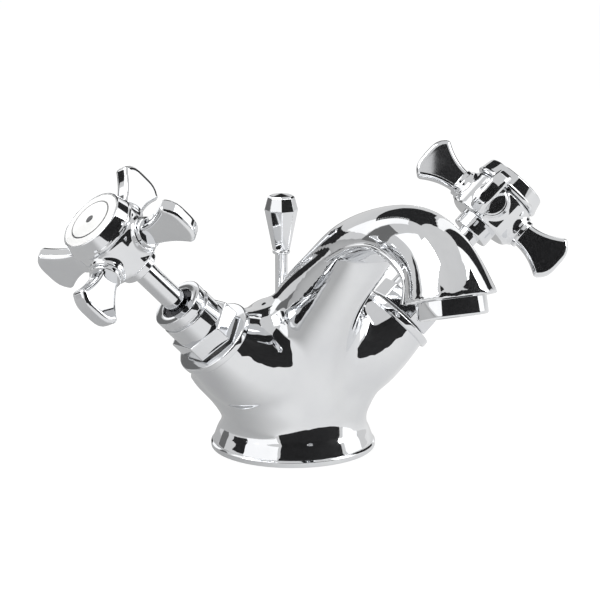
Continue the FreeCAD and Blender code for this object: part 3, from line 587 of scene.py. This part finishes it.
# Each column section, from the neck up: run, rise, lean, narrowing, front and back
TRUNK = (
    (0.0, 0.0, 0.0, 0.0, 1.0, 1.0),
    (0.076, 0.21, 12.0, 0.27, 0.89, 0.932),
    (0.197, 0.437, 30.0, 0.8, 0.72, 0.847),
    (0.455, 0.665, 42.0, 1.26, 0.508, 0.636),
    (0.788, 0.892, 62.0, 1.36, 0.403, 0.339),
    (1.0, 1.0, 78.0, 1.62, 0.212, 0.127),
)
TRUNK_TOP_STATION = 4
TRUNK_TOP_SINK = 9.0
TRUNK_TOP_LEAD = 4.0
TRUNK_ROOT_INSET = 0.4
# Each yoke section, from the middle to an arm's end: run, rise, sweep, lean and narrowing
YOKE = (
    (0.0, 0.0, 0.0, 0.0, 0.0),
    (0.36, 0.08, 0.15, 0.15, 0.06),
    (0.68, 0.36, 0.5, 0.6, 0.44),
    (1.0, 1.0, 1.0, 1.0, 1.0),
)
# Each flare section, from the neck up: rise, spread and depth
FLARE = (
    (0.0, 0.0, 0.93),
    (0.18, 0.1, 0.93),
    (0.38, 0.28, 0.93),
    (0.6, 0.54, 0.91),
    (0.8, 0.8, 0.85),
    (1.0, 1.0, 0.7),
)
ARM_FILLET = 7.0
HOOD_FILLET = 1.8
NECK_FILLET = 2.4
CASTING_BOX = ((-62, -132, -4), (62, 36, 108))
CASTING_VOXEL = 0.6
CASTING_REACH = 8.4
CASTING_ROUNDS = 24
BEAD_STEPS = 160
# How far round the hood's side the bead lies at each hood section, in degrees
BEAD_TURNS = (0.0, 0.0, 0.0, 0.0, 0.0, -4.0, -14.0, -24.0, -28.0)


def hood_sections():
    """Ridge point, travel angle, half width, crown and belly of each hood section."""
    rim = OUTLET_CENTRE + spout_frame(OUTLET_ANGLE)[1] * BELL_RADIUS
    climb = HOOD_PEAK - HOOD_TAIL
    fall = rim - HOOD_PEAK
    rows = []
    for run, rise, angle, width, crown in HOOD_BACK:
        ridge = HOOD_TAIL + Vector((0, climb.y * run, climb.z * rise))
        rows.append((ridge, angle, HOOD_HALF_WIDTH * width, HOOD_CROWN * crown, HOOD_BELLY))
    for run, rise, angle, width, crown, belly in HOOD_FRONT:
        ridge = HOOD_PEAK + Vector((0, fall.y * run, fall.z * rise))
        rows.append((ridge, angle, HOOD_HALF_WIDTH * width, HOOD_CROWN * crown, HOOD_BELLY * belly))
    rows.append((rim, OUTLET_ANGLE, BELL_RADIUS, BELL_RADIUS, BELL_RADIUS))
    return rows


def hood():
    """Hood from the back of the body over the peak to the bell."""
    sections = []
    for ridge, angle, half_width, crown, belly in hood_sections():
        normal = spout_frame(angle)[1]
        sections.append((ridge - normal * crown, RIGHT, normal, half_width, crown, belly))
    return loft(sections)


def trunk():
    """Central column that leans forward from the neck up into the hood."""
    neck = NECK_RADIUS - TRUNK_ROOT_INSET
    ridge, angle = hood_sections()[TRUNK_TOP_STATION][:2]
    travel, normal = spout_frame(angle)
    foot = Vector((0, 0, BODY_FOOT))
    way = ridge - normal * TRUNK_TOP_SINK + travel * TRUNK_TOP_LEAD - foot
    sections = []
    for run, rise, lean, narrowing, front, back in TRUNK:
        turn = math.radians(lean)
        centre = foot + Vector((0, way.y * run, way.z * rise))
        along = Vector((0, -math.cos(turn), -math.sin(turn)))
        half_width = neck + (HOOD_HALF_WIDTH - neck) * narrowing
        sections.append((centre, RIGHT, along, half_width, neck * front, neck * back))
    return loft(sections)


def yoke():
    """Both valve arms and the shoulder between them, as one bar that bends up to each flange."""
    rows = [("hot", row) for row in YOKE[:0:-1]] + [("cold", row) for row in YOKE]
    sections = []
    for name, (run, rise, sweep, lean, narrowing) in rows:
        outward = valve_axis(name)
        way = VALVE_START + outward * (ARM_LENGTH - ARM_FLANGE_THICKNESS / 2) - YOKE_CENTRE
        centre = YOKE_CENTRE + Vector((way.x * run, way.y * sweep, way.z * rise))
        heading = (Vector((1 - lean, 0, 0)) + outward * SIDES[name] * lean).normalized()
        along = (UP - heading * UP.dot(heading)).normalized()
        radius = YOKE_RADIUS + (ARM_END_RADIUS - YOKE_RADIUS) * narrowing
        sections.append((centre, along.cross(heading), along, radius, radius, radius))
    return loft(sections)


def flare():
    """Body between the neck and the arms, spread towards both sides as it rises."""
    sections = []
    for rise, spread, depth in FLARE:
        half_width = FLARE_ROOT_RADIUS + (FLARE_TOP_HALF_WIDTH - FLARE_ROOT_RADIUS) * spread
        half_depth = FLARE_ROOT_RADIUS * depth
        centre = Vector((0, FLARE_Y, BODY_FOOT + (FLARE_TOP_HEIGHT - BODY_FOOT) * rise))
        sections.append((centre, RIGHT, Vector((0, -1, 0)), half_width, half_depth, half_depth))
    return loft(sections)


def collar():
    """Foot above its lip, drawn in to the neck."""
    shoulder = BASE_RADIUS - LIP_SETBACK
    middle = ((shoulder + NECK_RADIUS) / 2 + COLLAR_BULGE, (LIP_HEIGHT + NECK_HEIGHT) / 2)
    return lathe([
        (0, COLLAR_FOOT, 0), (shoulder - COLLAR_FOOT_INSET, COLLAR_FOOT, 0), (shoulder, LIP_HEIGHT, 0),
        (*middle, COLLAR_ROUNDING), (NECK_RADIUS, NECK_HEIGHT, NECK_ROUNDING), (0, NECK_HEIGHT, 0)])


def casting():
    """The body's skin: arms, column, hood and foot, run together with fillets."""
    box = Voxels(*CASTING_BOX, CASTING_VOXEL, CASTING_REACH)
    limbs = box.distance(*trunk())
    for limb in (yoke(), flare()):
        limbs = np.minimum(limbs, box.distance(*limb))
    limbs = box.filleted(limbs, ARM_FILLET)
    whole = box.filleted(np.minimum(limbs, box.distance(*hood())), HOOD_FILLET)
    whole = smooth_union(whole, box.solid(*collar()), NECK_FILLET)
    points, quads = box.skin(whole)
    return relaxed(points, quads, CASTING_ROUNDS), quads


def base_lip():
    """Rounded lip round the foot of the body."""
    inside = BASE_RADIUS - LIP_WIDTH
    top = LIP_HEIGHT + LIP_OVERLAP
    return lathe([
        (inside, 0, 0), (BASE_RADIUS, 0, LIP_FOOT_ROUNDING),
        (BASE_RADIUS, LIP_HEIGHT - LIP_EDGE_DROP, LIP_EDGE_ROUNDING),
        (BASE_RADIUS - LIP_SETBACK, top, LIP_EDGE_ROUNDING), (inside, top, 0)], segments=192)


def arm_flange():
    """Flat round end of a valve arm."""
    foot = ARM_LENGTH - ARM_FLANGE_THICKNESS
    return lathe([
        (0, foot, 0), (ARM_FLANGE_RADIUS, foot, ARM_FLANGE_ROUNDING),
        (ARM_FLANGE_RADIUS, ARM_LENGTH, ARM_FLANGE_ROUNDING), (0, ARM_LENGTH, 0)])


def bead_paths():
    """The rolled edge of the hood on both sides, from its tail to the bell's rim."""
    rows = hood_sections()
    ridges = spline([r[0] for r in rows], BEAD_STEPS)
    angles = spline([r[1] for r in rows], BEAD_STEPS)
    sizes = spline([r[2:] for r in rows], BEAD_STEPS)
    turns = np.radians(spline(BEAD_TURNS, BEAD_STEPS))
    paths = []
    for side in (-1, 1):
        path = []
        for ridge, angle, (half, crown, belly), turn in zip(ridges, angles, sizes, turns):
            normal = np.array(spout_frame(angle)[1])
            sideways = np.array((side * half * math.cos(turn), 0, 0))
            path.append(ridge - normal * crown + sideways + normal * belly * math.sin(turn))
        paths.append(np.array(path))
    return paths


def build_body():
    """The casting with its lip, arm flanges and hood beads."""
    add_piece("casting", casting(), "mixer", "mixer_body", sharp=SKIN_SHARP_ANGLE)
    add_piece("base_lip", base_lip(), "mixer", "mixer_body")
    for name in SIDES:
        add_piece(name + "_arm_flange", arm_flange(), "mixer", "mixer_body", frame_of_valve(name))
    for label, path in zip(("left", "right"), bead_paths()):
        add_piece(label + "_hood_bead", tube(path, BEAD_RADIUS), "mixer", "mixer_body")


# Valves and handles
HEX_VOXEL = 0.22
HUB_BOX = ((-19, -19, BOSS_FOOT - 3), (19, 19, HUB_TOP + 4))
HUB_VOXEL = 0.3
HUB_REACH = 3.0
HUB_ROUNDS = 4
LOBE_STEPS = 12
LOBE_VOXEL = 0.3
# Bezel's outline up to its flank: radius, height over the hub's top and rounding
BEZEL_FOOT = (
    (5.5, -2.0, 0), (7.9, -2.0, 0), (7.9, 0.0, 0), (12.0, 0.0, 0.2),
    (12.7, 0.5, 0.5), (12.7, 1.3, 0.4), (12.4, 1.7, 0.2), (12.3, 2.2, 0.4),
)
# Bezel's outline from there into its seat: radius, height over the bezel's top and rounding
BEZEL_CAP = (
    (11.5, -0.3, 0.7), (11.0, 0.15, 0.3), (10.75, -0.4, 0), (10.75, -2.4, 0), (5.5, -2.4, 0),
)
# Index disc's outline: radius, height over the bezel's top and rounding
INDEX_DISC = ((0, -2.4, 0), (10.7, -2.4, 0), (10.7, -0.05, 0.25), (6.0, 0.33, 3.0), (0, 0.5, 0))


def hexagon():
    """Headgear's hexagon with softened edges."""
    radius = (HEX_ACROSS_FLATS / 2 - HEX_SOFTENING) / math.cos(math.pi / HEX_SIDES)
    outline = []
    for k in range(HEX_SIDES):
        turn = 2 * math.pi * (k + 0.5) / HEX_SIDES
        outline.append((radius * math.cos(turn), radius * math.sin(turn)))
    points, faces = prism(outline, WASHER_FACE + HEX_SOFTENING, HEX_TOP - HEX_SOFTENING,
                          lambda u, v, w: (u, v, w))
    return offset_solid(points, faces, HEX_SOFTENING, HEX_VOXEL)


def barrel():
    """Barrel, groove and cupped rim of the headgear."""
    foot = HEX_TOP - BARREL_OVERLAP
    return lathe([
        (HEADGEAR_BORE_RADIUS, foot, 0), (BARREL_RADIUS, foot, 0),
        (BARREL_RADIUS, BARREL_TOP, BARREL_ROUNDING), (GROOVE_RADIUS, BARREL_TOP, GROOVE_ROUNDING),
        (GROOVE_RADIUS, GROOVE_TOP, GROOVE_ROUNDING), (RIM_RADIUS, GROOVE_TOP, RIM_FOOT_ROUNDING),
        (RIM_RADIUS, RIM_TOP, RIM_ROUNDING), (CUP_RADIUS, RIM_TOP, CUP_EDGE_ROUNDING),
        (CUP_RADIUS, CUP_FLOOR, CUP_FLOOR_ROUNDING), (HEADGEAR_BORE_RADIUS, CUP_FLOOR, 0)])


def stem():
    """Visible stem of the spindle."""
    foot = CUP_FLOOR - SPINDLE_SINK
    top = BOSS_FOOT + SPINDLE_OVERLAP
    return lathe([(0, foot, 0), (SPINDLE_RADIUS, foot, 0), (SPINDLE_RADIUS, top, 0), (0, top, 0)],
                 segments=96)


def lobe_turns():
    """Turn about the valve's axis to each lobe."""
    return [Matrix.Rotation(2 * math.pi * k / LOBE_COUNT, 4, "Z") for k in range(LOBE_COUNT)]


def onto_lobe_axis():
    """Matrix from a lathe's axis to the first lobe's, which is X in the plane of the lobes."""
    return Matrix.Translation((0, 0, LOBE_PLANE)) @ Matrix.Rotation(math.pi / 2, 4, "Y")


def hub():
    """Hub drum run together with a socket for each lobe."""
    box = Voxels(*HUB_BOX, HUB_VOXEL, HUB_REACH)
    radius = HUB_RADIUS - HUB_SOFTENING
    foot = HUB_FOOT + HUB_SOFTENING
    top = HUB_TOP - HUB_SOFTENING
    drum = lathe([(0, foot, 0), (radius, foot, 0), (radius, top, 0), (0, top, 0)])
    whole = box.solid(*drum) - HUB_SOFTENING
    radius = SOCKET_RADIUS - SOCKET_SOFTENING
    end = SOCKET_END - SOCKET_SOFTENING
    points, faces = lathe([(0, SOCKET_FOOT, 0), (radius, SOCKET_FOOT, 0), (radius, end, 0), (0, end, 0)],
                          segments=96)
    for turn in lobe_turns():
        place = turn @ onto_lobe_axis()
        placed = np.array([place @ Vector(p) for p in points])
        whole = smooth_union(whole, box.solid(placed, faces) - SOCKET_SOFTENING, SOCKET_BLEND)
    skin_points, quads = box.skin(whole)
    return relaxed(skin_points, quads, HUB_ROUNDS), quads


def boss():
    """Boss between the spindle and the hub."""
    top = HUB_FOOT + BOSS_OVERLAP
    return lathe([
        (BOSS_BORE_RADIUS, BOSS_FOOT, 0), (BOSS_RADIUS, BOSS_FOOT, BOSS_ROUNDING), (BOSS_RADIUS, top, 0),
        (BOSS_BORE_RADIUS, top, 0)], segments=112)


def lobe():
    """One lobe on local X: a flat fan with rounded edges, its collar apart."""
    tip = LOBE_TIP - LOBE_SOFTENING
    root_half = LOBE_ROOT_HALF_WIDTH - LOBE_SOFTENING
    tip_half = LOBE_TIP_HALF_WIDTH - LOBE_SOFTENING
    half_thickness = LOBE_HALF_THICKNESS - LOBE_SOFTENING
    upper = []
    for k in range(LOBE_STEPS + 1):
        t = k / LOBE_STEPS
        half = root_half + (tip_half - root_half) * t - LOBE_WAIST * 4 * t * (1 - t)
        upper.append((LOBE_ROOT + (tip - LOBE_END_CROWN - LOBE_ROOT) * t, half))
    end = []
    for k in range(1, LOBE_STEPS):
        across = 1 - 2 * k / LOBE_STEPS
        end.append((tip - LOBE_END_CROWN * across ** 4, tip_half * across))
    outline = upper + end + [(r, -h) for r, h in reversed(upper)]
    points, faces = prism(outline, -half_thickness, half_thickness, lambda u, v, w: (u, w, LOBE_PLANE + v))
    return offset_solid(points, faces, LOBE_SOFTENING, LOBE_VOXEL)


def lobes():
    """All lobes of a handle and their collars."""
    lobe_points, lobe_faces = lobe()
    collar_points, collar_faces = lathe([
        (0, LOBE_COLLAR_FOOT, 0), (LOBE_COLLAR_RADIUS, LOBE_COLLAR_FOOT, 0),
        (LOBE_COLLAR_RADIUS, LOBE_COLLAR_TOP, LOBE_COLLAR_ROUNDING), (0, LOBE_COLLAR_CROWN, 0)],
        segments=72)
    groups = (([Vector(p) for p in lobe_points], lobe_faces),
              ([onto_lobe_axis() @ Vector(p) for p in collar_points], collar_faces))
    points, faces = [], []
    for turn in lobe_turns():
        for group_points, group_faces in groups:
            first = len(points)
            points += [turn @ p for p in group_points]
            faces += [tuple(int(i) + first for i in f) for f in group_faces]
    return points, faces


def build_valves():
    """Both valves: the headgear on the body, and all that turns with the handle."""
    for name in SIDES:
        place = frame_of_valve(name)
        handle = name + "_handle"
        bezel = lathe(raised(BEZEL_FOOT, HUB_TOP) + raised(BEZEL_CAP, BEZEL_TOP))
        pieces = (
            ("hexagon", hexagon(), "mixer", "headgear", SHARP_ANGLE),
            ("barrel", barrel(), "mixer", "headgear", SHARP_ANGLE),
            ("stem", stem(), handle, "spindle", SHARP_ANGLE),
            ("hub", hub(), handle, "handle_hub", SKIN_SHARP_ANGLE),
            ("boss", boss(), handle, "handle_hub", SHARP_ANGLE),
            ("lobes", lobes(), handle, "handle_lobes", SKIN_SHARP_ANGLE),
            ("bezel", bezel, handle, "index_bezel", SHARP_ANGLE),
        )
        for label, shape, body, node, sharp in pieces:
            add_piece(name + "_" + label, shape, body, name + "_" + node, place, sharp)
        add_piece(name + "_index", lathe(raised(INDEX_DISC, BEZEL_TOP)), handle, name + "_index_disc", place,
                  material=index_glaze(name))


# Outlet and lift knob
# Aerator ring's outline: radius, distance along the flow and rounding
AERATOR_RING = (
    (7.0, 4.6, 0), (7.9, 4.6, 0), (7.9, -3.0, 0), (9.0, -3.0, 0), (9.0, 0.2, 0),
    (11.0, 0.2, 0.2), (11.0, 5.8, 0.8), (9.4, 5.8, 0.3), (7.0, 5.8, 0.3),
)
# Ferrule's outline: radius, height over the knob's foot and rounding
FERRULE = (
    (ROD_RADIUS - FERRULE_OVERLAP, 0.0, 0), (3.1, 0.0, 0.4), (3.1, 1.0, 0.2),
    (2.8, 1.3, 0.2), (2.8, 2.2, 0), (ROD_RADIUS - FERRULE_OVERLAP, 2.2, 0),
)
# Knob's rings of corners, from below: radius and height over its foot
KNOB_RINGS = ((3.1, 1.6), (5.9, 15.6), (4.8, 19.8), (4.3, 20.4))
KNOB_VOXEL = 0.2


def build_outlet():
    """Aerator's ring below the bell."""
    add_piece("aerator_ring", lathe(AERATOR_RING), "mixer", "aerator_housing", frame_of_outlet())


def knob():
    """Faceted knob: long taper, short crown and a low dome, with softened edges."""
    points, faces = [], []
    for radius, height in KNOB_RINGS:
        reach = radius - KNOB_SOFTENING
        for k in range(KNOB_SIDES):
            turn = 2 * math.pi * (k + 0.5) / KNOB_SIDES
            points.append((reach * math.cos(turn), reach * math.sin(turn), KNOB_FOOT + height))
    last = len(points) - KNOB_SIDES
    bottom, top = len(points), len(points) + 1
    points += [(0, 0, points[0][2]), (0, 0, points[last][2] + KNOB_DOME)]
    for k in range(KNOB_SIDES):
        after = (k + 1) % KNOB_SIDES
        for low in range(0, last, KNOB_SIDES):
            high = low + KNOB_SIDES
            faces.append((low + k, low + after, high + after, high + k))
        faces.append((after, k, bottom))
        faces.append((last + k, last + after, top))
    return offset_solid(points, faces, KNOB_SOFTENING, KNOB_VOXEL)


def build_lift():
    """Lift rod with its ferrule and knob."""
    place = Matrix.Translation((0, ROD_Y, 0))
    top = KNOB_FOOT + ROD_OVERLAP
    rod = [(0, ROD_FOOT, 0), (ROD_RADIUS, ROD_FOOT, 0), (ROD_RADIUS, top, 0), (0, top, 0)]
    add_piece("rod_stem", lathe(rod, segments=72), "lift", "lift_rod", place)
    ferrule = lathe(raised(FERRULE, KNOB_FOOT), segments=96)
    add_piece("knob_ferrule", ferrule, "lift", "lift_knob", place)
    add_piece("knob", knob(), "lift", "lift_knob", place, sharp=KNOB_SHARP_ANGLE)


def dress_plain_nodes():
    """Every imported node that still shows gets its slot's finish."""
    slots = {row["node"]: row["material_slot"] for row in frame["record"]["subparts"]}
    for name, node in NODES.items():
        if node.hide_render or slots[name] not in SLOT_MATERIALS:
            continue
        node.data.materials.clear()
        node.data.materials.append(SLOT_MATERIALS[slots[name]])


# Studio
CAMERA_PLACE = Vector((-0.33706, -0.70275, 0.23720))
CAMERA_TARGET = Vector((0.00220, -0.00106, 0.05241))
CAMERA_LENS = 137.7
CAMERA_SENSOR = 36.0
CAMERA_CLIP = 0.01
CAMERA_AZIMUTH = -25.8
STUDIO_CENTRE = Vector((0, -0.03, 0.06))
NEAR = 0.3
FAR = 1.1
OUTER = 1.5
# Each panel: azimuths from the camera's, elevations, distance, and how bright it looks
PANELS = {
    "grey_surround": ((-180, 180), (-2, 90), OUTER, 0.68),
    "front_flag": ((-22, 78), (-11, 44), NEAR, 0.0),
    "front_top_flag": ((-6.6, 4), (34, 44), FAR, 0.0),
    "right_softbox": ((83, 115), (-8, 57), FAR, 1.25),
    "right_flag": ((116, 151), (10, 56), FAR, 0.0),
    "rear_right_strip": ((152, 164), (0, 60), FAR, 1.1),
    "rear_flag": ((166, 214), (20, 60), FAR, 0.0),
    "rear_low_flag": ((196, 213), (-3, 4), FAR, 0.0),
    "rear_left_strip": ((209, 228), (5, 48), FAR, 1.15),
    "left_dim_card": ((229, 246), (-3, 30), FAR, 0.16),
    "left_softbox": ((247, 303), (24, 54), FAR, 1.25),
    "left_low_flag": ((257, 284), (8, 21), FAR, 0.0),
    "front_left_softbox": ((284, 336), (0, 30), FAR, 1.15),
}
PANEL_STEPS = 24
FLAG_BLACK = (0.006, 0.006, 0.007)
FLAG_ROUGHNESS = (0.8, 0.9)
CLOTH_NOISE_SCALE = 2.0
CLOTH_UNEVENNESS = 0.03
# Each lamp: azimuth from the camera's, elevation and power
LAMPS = {"key": (-70, 50, 6.0), "fill": (80, 35, 3.0)}
LAMP_DISTANCE = 1.0
LAMP_SIZE = 0.6
WORLD_LIGHT = 0.68
# Rays that see the white background
SEEN_RAYS = ("Is Camera Ray", "Is Glossy Ray", "Is Transmission Ray")
FLOOR_HALF = 6.0
FLOOR_TINTS = ((0.86, 0.86, 0.86), (0.9, 0.9, 0.9))
FLOOR_NOISE_SCALE = 3.0
FLOOR_SEEN = 1.13
FLOOR_SEEN_SHARE = 0.75
# Painted shade: what reflections see of the floor is darker towards the rear left
FLOOR_BRIGHT = 0.78
FLOOR_PAINTED_SHADE = 0.30
FLOOR_SHADE_AZIMUTH = -115
FLOOR_SHADE_FROM = -0.032
FLOOR_SHADE_TO = 0.026


def build_camera():
    """Camera at the photographed view."""
    camera = bpy.data.objects.new("camera", bpy.data.cameras.new("camera"))
    camera.data.lens = CAMERA_LENS
    camera.data.sensor_width = CAMERA_SENSOR
    camera.data.clip_start = CAMERA_CLIP
    camera.location = CAMERA_PLACE
    camera.rotation_euler = (CAMERA_TARGET - CAMERA_PLACE).to_track_quat("-Z", "Y").to_euler()
    bpy.context.scene.collection.objects.link(camera)
    bpy.context.scene.camera = camera


def direction(azimuth, elevation):
    """Unit vector towards an azimuth, counted from the camera's, and an elevation."""
    a = math.radians(CAMERA_AZIMUTH + azimuth)
    e = math.radians(elevation)
    return Vector((math.sin(a) * math.cos(e), -math.cos(a) * math.cos(e), math.sin(e)))


def panel_material(brightness):
    """Black cloth, or a lit cloth of even brightness with a faint unevenness."""
    if not brightness:
        return surface("flag_cloth", FLAG_BLACK, FLAG_BLACK, FLAG_ROUGHNESS)
    material = bpy.data.materials.new("lit_cloth")
    nodes = Nodes(material)
    place = nodes.add("ShaderNodeTexCoord").outputs["Object"]
    level = noise_between(nodes, place, CLOTH_NOISE_SCALE, brightness * (1 - CLOTH_UNEVENNESS),
                          brightness * (1 + CLOTH_UNEVENNESS))
    glow = nodes.add("ShaderNodeEmission", {"Color": WHITE, "Strength": level})
    nodes.add("ShaderNodeOutputMaterial", {"Surface": glow.outputs[0]})
    return material


def build_panel(name, azimuths, elevations, distance, brightness):
    """Studio panel that only reflections see, curved round the object."""
    points, faces = [], []
    row = PANEL_STEPS + 1
    for i in range(row):
        for j in range(row):
            azimuth = azimuths[0] + (azimuths[1] - azimuths[0]) * i / PANEL_STEPS
            elevation = elevations[0] + (elevations[1] - elevations[0]) * j / PANEL_STEPS
            points.append(STUDIO_CENTRE + direction(azimuth, elevation) * distance)
    for i in range(PANEL_STEPS):
        for j in range(PANEL_STEPS):
            faces.append((i * row + j, i * row + j + 1, (i + 1) * row + j + 1, (i + 1) * row + j))
    mesh = bpy.data.meshes.new(name)
    mesh.from_pydata(points, [], faces)
    mesh.materials.append(panel_material(brightness))
    panel = bpy.data.objects.new(name, mesh)
    bpy.context.scene.collection.objects.link(panel)
    panel.visible_camera = False
    panel.visible_diffuse = False
    panel.visible_shadow = False


def floor_material():
    """Pale matt floor that glows white for the camera, and light grey for reflections with painted shade that
    darkens it towards the rear left.
    """
    material = bpy.data.materials.new("floor")
    nodes = Nodes(material)
    place = nodes.add("ShaderNodeTexCoord").outputs["Object"]
    matt = nodes.add("ShaderNodeBsdfDiffuse", {
        "Color": tinted(nodes, place, FLOOR_NOISE_SCALE, *FLOOR_TINTS)})
    path = nodes.add("ShaderNodeLightPath")
    away = nodes.add("ShaderNodeVectorMath", {0: place, 1: direction(FLOOR_SHADE_AZIMUTH, 0)},
                     operation="DOT_PRODUCT")
    # Painted shade: the floor's brightness in reflections falls towards the rear left
    painted_shade_level = nodes.add("ShaderNodeMapRange", {
        "Value": away.outputs["Value"], "From Min": FLOOR_SHADE_FROM, "From Max": FLOOR_SHADE_TO,
        "To Min": FLOOR_BRIGHT, "To Max": FLOOR_PAINTED_SHADE}, interpolation_type="SMOOTHSTEP")
    level = nodes.add("ShaderNodeMapRange", {
        "Value": path.outputs["Is Glossy Ray"], "To Min": FLOOR_SEEN, "To Max": painted_shade_level.outputs[0]})
    glow = nodes.add("ShaderNodeEmission", {"Color": WHITE, "Strength": level.outputs[0]})
    seen = largest(nodes, [path.outputs[ray] for ray in SEEN_RAYS])
    share = nodes.add("ShaderNodeMath", {0: seen, 1: FLOOR_SEEN_SHARE}, operation="MULTIPLY")
    mix = nodes.add("ShaderNodeMixShader", {0: share.outputs[0], 1: matt.outputs[0], 2: glow.outputs[0]})
    nodes.add("ShaderNodeOutputMaterial", {"Surface": mix.outputs[0]})
    return material


def build_floor():
    """Floor that keeps the object's soft shadow."""
    corners = [(FLOOR_HALF * x, FLOOR_HALF * y, 0) for x, y in ((-1, -1), (1, -1), (1, 1), (-1, 1))]
    mesh = bpy.data.meshes.new("floor")
    mesh.from_pydata(corners, [], [(0, 1, 2, 3)])
    mesh.materials.append(floor_material())
    floor = bpy.data.objects.new("floor", mesh)
    bpy.context.scene.collection.objects.link(floor)


def build_world():
    """White surround for the camera, metal and glass, dimmer in the light that it gives."""
    world = bpy.data.worlds.new("studio")
    nodes = Nodes(world)
    path = nodes.add("ShaderNodeLightPath")
    seen = largest(nodes, [path.outputs[ray] for ray in SEEN_RAYS])
    strength = nodes.add("ShaderNodeMapRange", {"Value": seen, "To Min": WORLD_LIGHT, "To Max": 1.0})
    back = nodes.add("ShaderNodeBackground", {"Color": WHITE, "Strength": strength.outputs[0]})
    nodes.add("ShaderNodeOutputWorld", {"Surface": back.outputs[0]})
    bpy.context.scene.world = world


def build_lamp(name, azimuth, elevation, power):
    """Square soft lamp that faces the object."""
    lamp = bpy.data.objects.new(name, bpy.data.lights.new(name, "AREA"))
    lamp.data.shape = "SQUARE"
    lamp.data.size = LAMP_SIZE
    lamp.data.energy = power
    lamp.location = STUDIO_CENTRE + direction(azimuth, elevation) * LAMP_DISTANCE
    lamp.rotation_euler = (STUDIO_CENTRE - lamp.location).to_track_quat("-Z", "Y").to_euler()
    bpy.context.scene.collection.objects.link(lamp)


def build_studio():
    """Camera, floor, surround, panels and lamps."""
    build_camera()
    build_floor()
    build_world()
    for name, panel in PANELS.items():
        build_panel(name, *panel)
    for name, lamp in LAMPS.items():
        build_lamp(name, *lamp)
    bpy.context.scene.view_settings.view_transform = "Standard"


build_body()
build_valves()
build_outlet()
build_lift()
dress_plain_nodes()
build_studio()
